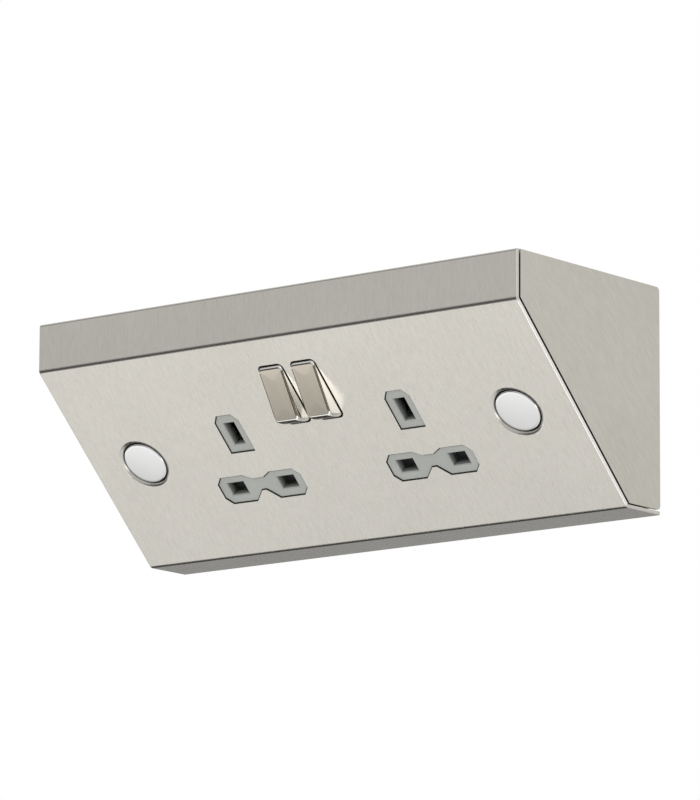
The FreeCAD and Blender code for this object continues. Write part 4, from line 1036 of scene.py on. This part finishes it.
class FastenerTree(ShapeTree):
    """Screws and studs: the head stands up from the seat, the shank goes down.

    The thread's depth is a share of its pitch. The head is drawn in by a share of its radius at the top, and the
    draw sets in later with a higher power. The blade that cuts its slot is as long as that radius times the reach.
    """

    name = "threaded_fasteners"
    lengths = ("Radius", "Length", "Pitch", "Point", "Head Radius", "Head Height", "Slot Width", "Slot Depth")
    shank_sides: int = 24
    rows_per_turn: float = 8.0
    least_rows: float = 2.0
    thread_share: float = 0.62
    head_sides: int = 40
    head_rows: int = 8
    head_draw: float = 0.22
    head_power: float = 5.0
    blade_reach: float = 3.0

    def shape(self) -> Socket:
        """Joins the head and the shank.

        Returns:
            Geometry of the fastener.
        """
        join = self.graph.add("GeometryNodeJoinGeometry")
        for part in (self.head(), self.shank()):
            self.tree.links.new(part, join.inputs[0])
        return join.outputs[0]

    def axes(self) -> tuple[Socket, Socket, Socket]:
        """Each point's own x, y and z."""
        place = self.graph.add("GeometryNodeInputPosition").outputs[0]
        return tuple(self.graph.add("ShaderNodeSeparateXYZ", {0: place}).outputs)

    def moved(self, mesh: Socket, share: Socket, rise: Socket, axes: Sequence[Socket]) -> Socket:
        """Draws a mesh in towards its axis and lifts it.

        Args:
            mesh: The mesh.
            share: Share of its distance from the axis by which each point moves, below 0 for inwards.
            rise: How far it is lifted.
            axes: The points' own x, y and z.

        Returns:
            The changed mesh.
        """
        x_shift, y_shift = (self.graph.maths("MULTIPLY", axis, share) for axis in axes[:2])
        shift = self.graph.add("ShaderNodeCombineXYZ", {0: x_shift, 1: y_shift, 2: rise}).outputs[0]
        return self.graph.add("GeometryNodeSetPosition", {"Geometry": mesh, "Offset": shift}).outputs[0]

    def shank(self) -> Socket:
        """Makes a cylinder whose wall has a helical groove that runs out at both ends, with a tapered point.

        Returns:
            Geometry of the shank.
        """
        maths, given = self.graph.maths, self.given
        turns = maths("DIVIDE", given["Length"], given["Pitch"])
        rows = maths("MAXIMUM", maths("MULTIPLY", turns, self.rows_per_turn), self.least_rows)
        rod = self.graph.add("GeometryNodeMeshCylinder", {
            "Vertices": self.shank_sides, "Side Segments": rows, "Radius": given["Radius"],
            "Depth": given["Length"]})
        x, y, z = self.axes()
        about = maths("DIVIDE", maths("ARCTAN2", y, x), 2.0 * math.pi)
        phase = maths("SUBTRACT", maths("DIVIDE", z, given["Pitch"]), about)
        groove = maths("MULTIPLY", maths("PINGPONG", phase, 0.5), 2.0)
        half = maths("MULTIPLY", given["Length"], 0.5)
        left = maths("SUBTRACT", half, maths("ABSOLUTE", z))
        fade = maths("MINIMUM", maths("DIVIDE", left, given["Pitch"]), 1.0)
        depth = maths("DIVIDE", maths("MULTIPLY", given["Pitch"], -self.thread_share), given["Radius"])
        thread = maths("MULTIPLY", maths("MULTIPLY", groove, fade), depth)
        short = maths("SUBTRACT", given["Point"], maths("ADD", z, half))
        taper = maths("DIVIDE", maths("MAXIMUM", short, 0.0), given["Radius"])
        share = maths("SUBTRACT", thread, taper)
        return self.moved(rod.outputs["Mesh"], share, maths("MULTIPLY", half, -1.0), (x, y, z))

    def head(self) -> Socket:
        """Makes a head drawn in towards its top, with a slot for the driver where its depth isn't 0.

        Returns:
            Geometry of the head.
        """
        graph, maths, given = self.graph, self.graph.maths, self.given
        disc = graph.add("GeometryNodeMeshCylinder", {
            "Vertices": self.head_sides, "Side Segments": self.head_rows, "Radius": given["Head Radius"],
            "Depth": given["Head Height"]})
        axes = self.axes()
        rise = maths("ADD", maths("DIVIDE", axes[2], given["Head Height"]), 0.5)
        draw = maths("MULTIPLY", maths("POWER", rise, self.head_power), -self.head_draw)
        shaped = self.moved(disc.outputs["Mesh"], draw, maths("MULTIPLY", given["Head Height"], 0.5), axes)
        size = graph.add("ShaderNodeCombineXYZ", {
            0: given["Slot Width"], 1: maths("MULTIPLY", given["Head Radius"], self.blade_reach),
            2: maths("MULTIPLY", given["Slot Depth"], 2.0)})
        place = graph.add("ShaderNodeCombineXYZ", {2: given["Head Height"]})
        block = graph.add("GeometryNodeMeshCube", {"Size": size.outputs[0]})
        blade = graph.add("GeometryNodeTransform", {
            "Geometry": block.outputs["Mesh"], "Translation": place.outputs[0]})
        slotted = graph.add("GeometryNodeMeshBoolean", {0: shaped, 1: blade.outputs[0]}, operation="DIFFERENCE")
        choice = graph.add("GeometryNodeSwitch", {
            "Switch": maths("GREATER_THAN", given["Slot Depth"], 0.0), "False": shaped,
            "True": slotted.outputs[0]}, input_type="GEOMETRY")
        return choice.outputs[0]


@dataclass(frozen=True)
class CoilSize:
    """Sizes of a coil spring, in millimetres, in the order of its tree's lengths."""

    radius: float
    wire: float
    pitch: float
    length: float


class CoilTree(ShapeTree):
    """Coil springs of round wire, from their origin upwards."""

    name = "coil_springs"
    lengths = ("Radius", "Wire", "Pitch", "Length")
    points_per_turn: int = 28
    wire_sides: int = 10

    def shape(self) -> Socket:
        """Runs round wire along a spiral and closes its ends.

        Returns:
            Geometry of the spring.
        """
        graph, given = self.graph, self.given
        height = graph.maths("SUBTRACT", given["Length"], given["Wire"])
        line = graph.add("GeometryNodeCurveSpiral", {
            "Resolution": self.points_per_turn, "Rotations": graph.maths("DIVIDE", height, given["Pitch"]),
            "Start Radius": given["Radius"], "End Radius": given["Radius"], "Height": height})
        half = graph.maths("MULTIPLY", given["Wire"], 0.5)
        ring = graph.add("GeometryNodeCurvePrimitiveCircle", {"Resolution": self.wire_sides, "Radius": half})
        wire = graph.add("GeometryNodeCurveToMesh", {
            "Curve": line.outputs[0], "Profile Curve": ring.outputs[0], "Fill Caps": True})
        lift = graph.add("ShaderNodeCombineXYZ", {2: half})
        lifted = graph.add("GeometryNodeTransform", {
            "Geometry": wire.outputs[0], "Translation": lift.outputs[0]})
        return lifted.outputs[0]


@dataclass
class Fasteners:
    """One kind of screw or stud, at all of its places."""

    node: str
    places: Sequence[Triple]
    size: ScrewSize
    finish: Finish
    slot: str
    frame: Matrix = PLATE
    about_x: float = 0.0

    def build(self, tree: FastenerTree) -> None:
        """Sets the fasteners on their places.

        Args:
            tree: The tree that makes them.
        """
        turn = self.frame.to_3x3() @ Matrix.Rotation(math.radians(self.about_x), 3, "X")
        places = [self.frame @ (Vector(place) * MM) for place in self.places]
        made = tree.run(f"{self.node}_threaded", places, turn, astuple(self.size), self.finish)
        carry(made, "housing", self.slot, self.node)


@dataclass
class Spring:
    """A coil spring, with the joint that it sits by and that joint's travel, which nothing here uses."""

    node: str
    body: str
    joint: str
    foot: Triple
    about_x: float
    size: CoilSize
    travel: float

    def build(self, tree: CoilTree) -> None:
        """Coils the spring and carries it on its body.

        Args:
            tree: The tree that makes it.
        """
        foot = Vector(self.foot) * MM
        turn = Matrix.Rotation(math.radians(self.about_x), 3, "X")
        made = tree.run(f"{self.node}_coil", [foot], turn, astuple(self.size), SPRING_STEEL)
        carry(made, self.body, "spring_steel", self.node)
        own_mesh(made)


@dataclass
class Fixings:
    """Every screw, stud and spring of the socket.

    Lengths are in millimetres. Screws and studs stand in the plate's frame; the box's earth screw and the
    springs, whose place is that of the right half, stand in the row frame. Turns are about x, in degrees.
    """

    cover_across: float = 81.2
    cover_seat: float = -3.6
    base_across: float = 55.2
    base_rows: Pair = (29.8, -26.7)
    base_seat: float = -25.8
    stud_across: float = 64.0
    stud_rows: Pair = (-22.0, 22.0)
    stud_seat: float = -1.7
    terminals: tuple[Pair, ...] = ((0.0, 13.85), (-14.0, 4.83), (0.0, -19.4))
    terminal_seat: float = -25.2
    earth_spot: Triple = (80.0, -10.2, -15.0)
    backwards: float = 180.0
    forwards: float = 90.0
    shutter_foot: Triple = (37.1, -24.2035, -25.1167)
    shutter_turn: float = 45.0
    shutter_travel: float = 6.0
    plunger_foot: Triple = (7.0, -61.4544, 7.961)
    plunger_turn: float = -59.7
    plunger_travel: float = 0.6

    def fasteners(self) -> list[Fasteners]:
        """Lists the screws and studs; those in the base have their heads at the back.

        Returns:
            One entry for each kind.
        """
        cover = [(side.sign * self.cover_across, 0.0, self.cover_seat) for side in Side]
        base = [(side.sign * self.base_across, row, self.base_seat) for side in Side for row in self.base_rows]
        studs = [(side.sign * self.stud_across, row, self.stud_seat) for side in Side for row in self.stud_rows]
        terminals = [(across, row, self.terminal_seat) for across, row in self.terminals]
        return [
            Fasteners("cover_screws", cover, ScrewSize(
                radius=1.75, length=12.0, pitch=0.6, point=0.8,
                head_radius=3.5, head_height=1.9, slot_width=1.0, slot_depth=0.9), ZINC_STEEL, "zinc_steel"),
            Fasteners("base_screws", base, ScrewSize(
                radius=1.15, length=20.6, pitch=0.9, point=1.0,
                head_radius=2.6, head_height=1.4, slot_width=0.7, slot_depth=0.65), ZINC_STEEL, "zinc_steel",
                about_x=self.backwards),
            Fasteners("mounting_studs", studs, ScrewSize(
                radius=1.5, length=7.5, pitch=0.5, point=0.2,
                head_radius=1.5, head_height=0.5, slot_width=0.5), ZINC_STEEL, "zinc_steel"),
            Fasteners("terminal_screws", terminals, ScrewSize(
                radius=1.5, length=0.8, pitch=0.4, point=0.1,
                head_radius=2.4, head_height=2.0, slot_width=0.8, slot_depth=0.9), BRASS, "brass",
                about_x=self.backwards),
            Fasteners("box_earth_screw", [self.earth_spot], ScrewSize(
                radius=1.5, length=4.5, pitch=0.5, point=0.2,
                head_radius=2.4, head_height=1.6, slot_width=0.8, slot_depth=0.75), BRASS, "brass",
                frame=Matrix.Identity(4), about_x=self.forwards),
        ]

    def springs(self) -> list[Spring]:
        """Lists the springs behind the shutters and inside the rockers.

        Returns:
            Two springs for each half.
        """
        shutter_coil = CoilSize(radius=1.35, wire=0.5, pitch=2.525, length=10.6)
        plunger_coil = CoilSize(radius=0.95, wire=0.36, pitch=1.16, length=5.0)
        made = []
        for side in Side:
            name = side.value
            shutter, plunger = ((side.sign * x, y, z) for x, y, z in (self.shutter_foot, self.plunger_foot))
            made.append(Spring(f"shutter_spring_{name}", "housing", f"shutter_{name}", shutter,
                               self.shutter_turn, shutter_coil, self.shutter_travel))
            made.append(Spring(f"plunger_spring_{name}", f"{name}_rocker", f"plunger_{name}", plunger,
                               self.plunger_turn, plunger_coil, self.plunger_travel))
        return made

    def build(self) -> None:
        """Makes the screws and studs with one tree, and the springs with another."""
        threads = FastenerTree()
        for kind in self.fasteners():
            kind.build(threads)
        coils = CoilTree()
        for spring in self.springs():
            spring.build(coils)


@dataclass
class Studio:
    """Camera at the photograph's angle, a pale floor, and soft light from all round.

    Lengths are in metres, and those of the lens and the sensor in millimetres.
    """

    lens: float = 269.4695
    sensor: float = 36.0
    spot: Triple = (1.25724, -1.60330, -0.37711)
    aim: Triple = (100.8202, -0.2785, 38.6926)
    view_reach: float = 50.0
    floor_drop: float = 2.6
    floor_radius: float = 1.4
    floor_segments: int = 64
    floor_level: float = 0.8
    floor_roughness: float = 0.9
    # Diffuse light: where it comes from, its level there, and its level on the far side.
    key: Triple = (0.1, -0.66, -0.74)
    key_level: float = 1.1
    shade: float = 0.5
    # Reflected strips grow by the gain, and reach at least the fill, between two values of a direction's x.
    side_from: float = 0.1
    side_to: float = 0.5
    side_gain: float = 1.7
    fill_from: float = -0.50
    fill_to: float = -0.15
    fill: float = 0.62
    warmth: float = 0.005
    # Level of the strips by their angle about x, in degrees: 0 is below the object, 90 in front of it,
    # 180 above and -90 behind.
    strips: tuple[Pair, ...] = (
        (-180.0, 0.80), (-140.0, 0.60), (-104.0, 0.45), (-76.0, 0.40), (-62.0, 0.22), (-50.0, 0.04),
        (-14.0, 0.04), (-4.0, 0.15), (2.0, 0.40), (8.0, 0.80), (14.0, 1.06), (19.0, 1.26), (24.0, 1.26),
        (28.0, 0.97), (33.0, 0.62), (39.0, 0.30), (47.0, 0.11), (60.0, 0.05), (84.0, 0.08), (94.0, 0.40),
        (101.0, 0.70), (112.0, 0.72), (122.0, 0.50), (136.0, 0.25), (152.0, 0.25), (168.0, 0.70), (180.0, 0.80),
    )

    def build(self) -> None:
        """Makes the camera, the floor and the light."""
        scene = bpy.context.scene
        scene.view_settings.view_transform = "Standard"
        camera = bpy.data.cameras.new("camera")
        camera.lens = self.lens
        camera.sensor_width = self.sensor
        camera.clip_end = self.view_reach
        scene.camera = linked("camera", camera)
        scene.camera.location = self.spot
        scene.camera.rotation_euler = Euler([math.radians(angle) for angle in self.aim])
        self.floor()
        self.surround()

    def floor(self) -> None:
        """Makes a plain pale floor well below the object, which hangs on a wall."""
        bm = bmesh.new()
        bmesh.ops.create_circle(bm, cap_ends=True, segments=self.floor_segments, radius=self.floor_radius)
        bmesh.ops.translate(bm, verts=bm.verts, vec=(0.0, 0.0, -self.floor_drop))
        material = bpy.data.materials.new("floor_pale")
        material.use_nodes = True
        graph, nodes = Graph(material.node_tree), material.node_tree.nodes
        shader = nodes["Principled BSDF"]
        graph.feed(shader, {"Base Color": grey(self.floor_level), "Roughness": self.floor_roughness})
        path = graph.add("ShaderNodeLightPath").outputs
        seen = graph.maths("MAXIMUM", path["Is Camera Ray"], path["Is Glossy Ray"])
        seen = graph.maths("MAXIMUM", seen, path["Is Transmission Ray"])
        white = graph.add("ShaderNodeEmission", {"Color": WHITE, "Strength": 1.0})
        mixed = graph.add("ShaderNodeMixShader", {0: seen, 1: shader.outputs[0], 2: white.outputs[0]})
        graph.feed(nodes["Material Output"], {"Surface": mixed.outputs[0]})
        floor = meshed("floor", bm)
        floor.data.materials.append(material)

    def surround(self) -> None:
        """Lights the object from long soft strips that run along x, with darker gaps between them."""
        world = bpy.data.worlds.new("studio")
        world.use_nodes = True
        world.cycles.sampling_method = "NONE"
        bpy.context.scene.world = world
        graph = Graph(world.node_tree)
        way = graph.add("ShaderNodeTexCoord").outputs["Generated"]
        axes = graph.add("ShaderNodeSeparateXYZ", {0: way}).outputs
        front = graph.maths("MULTIPLY", axes["Y"], -1.0)
        below = graph.maths("MULTIPLY", axes["Z"], -1.0)
        turn = graph.maths("ARCTAN2", front, below)
        ramp = graph.add("ShaderNodeValToRGB", {0: graph.span(turn, -math.pi, math.pi)})
        places = ramp.color_ramp.elements
        while len(places) < len(self.strips):
            places.new(0.5)
        for place, (angle, level) in zip(places, self.strips):
            place.position = (angle + 180.0) / 360.0
            place.color = grey(level, self.warmth)
        facing = graph.add("ShaderNodeVectorMath", {0: way, 1: self.key}, operation="DOT_PRODUCT")
        soft = graph.span(facing.outputs["Value"], -1.0, 1.0, self.shade, self.key_level)
        gain = graph.span(axes["X"], self.side_from, self.side_to, 1.0, self.side_gain)
        strips = graph.add("ShaderNodeVectorMath", {0: ramp.outputs[0], "Scale": gain}, operation="SCALE")
        fill = graph.span(axes["X"], self.fill_from, self.fill_to, 0.0, self.fill)
        glossy = graph.add("ShaderNodeVectorMath", {0: strips.outputs[0], 1: fill}, operation="MAXIMUM")
        path = graph.add("ShaderNodeLightPath").outputs
        seen = graph.maths("MAXIMUM", path["Is Camera Ray"], path["Is Transmission Ray"])
        lit = graph.blend(path["Is Glossy Ray"], soft, glossy.outputs[0])
        graph.feed(world.node_tree.nodes["Background"], {"Color": graph.blend(seen, lit, WHITE), "Strength": 1.0})


def dress_solids() -> None:
    """Gives its finish to every solid that keeps its own shape."""
    finishes = dict(NODE_FINISH)
    for side in Side:
        finishes.update({f"{stem}_{side.value}": finish for stem, finish in SIDE_FINISH.items()})
    for name, finish in finishes.items():
        node = frame["nodes"][name]
        node.data.materials.clear()
        node.data.materials.append(finish.material())
        LOG.info("%s keeps its solid, finished in %s", name, finish.name)


def main() -> None:
    """Builds and dresses the sub-assemblies in order."""
    logging.basicConfig(level=logging.INFO, format="%(message)s")
    Studio().build()
    dress_solids()
    for side in Side:
        Rocker(side).build()
        ScrewCap(side).build()
    CableBush().build()
    Fixings().build()


if __name__ == "__main__":
    main()
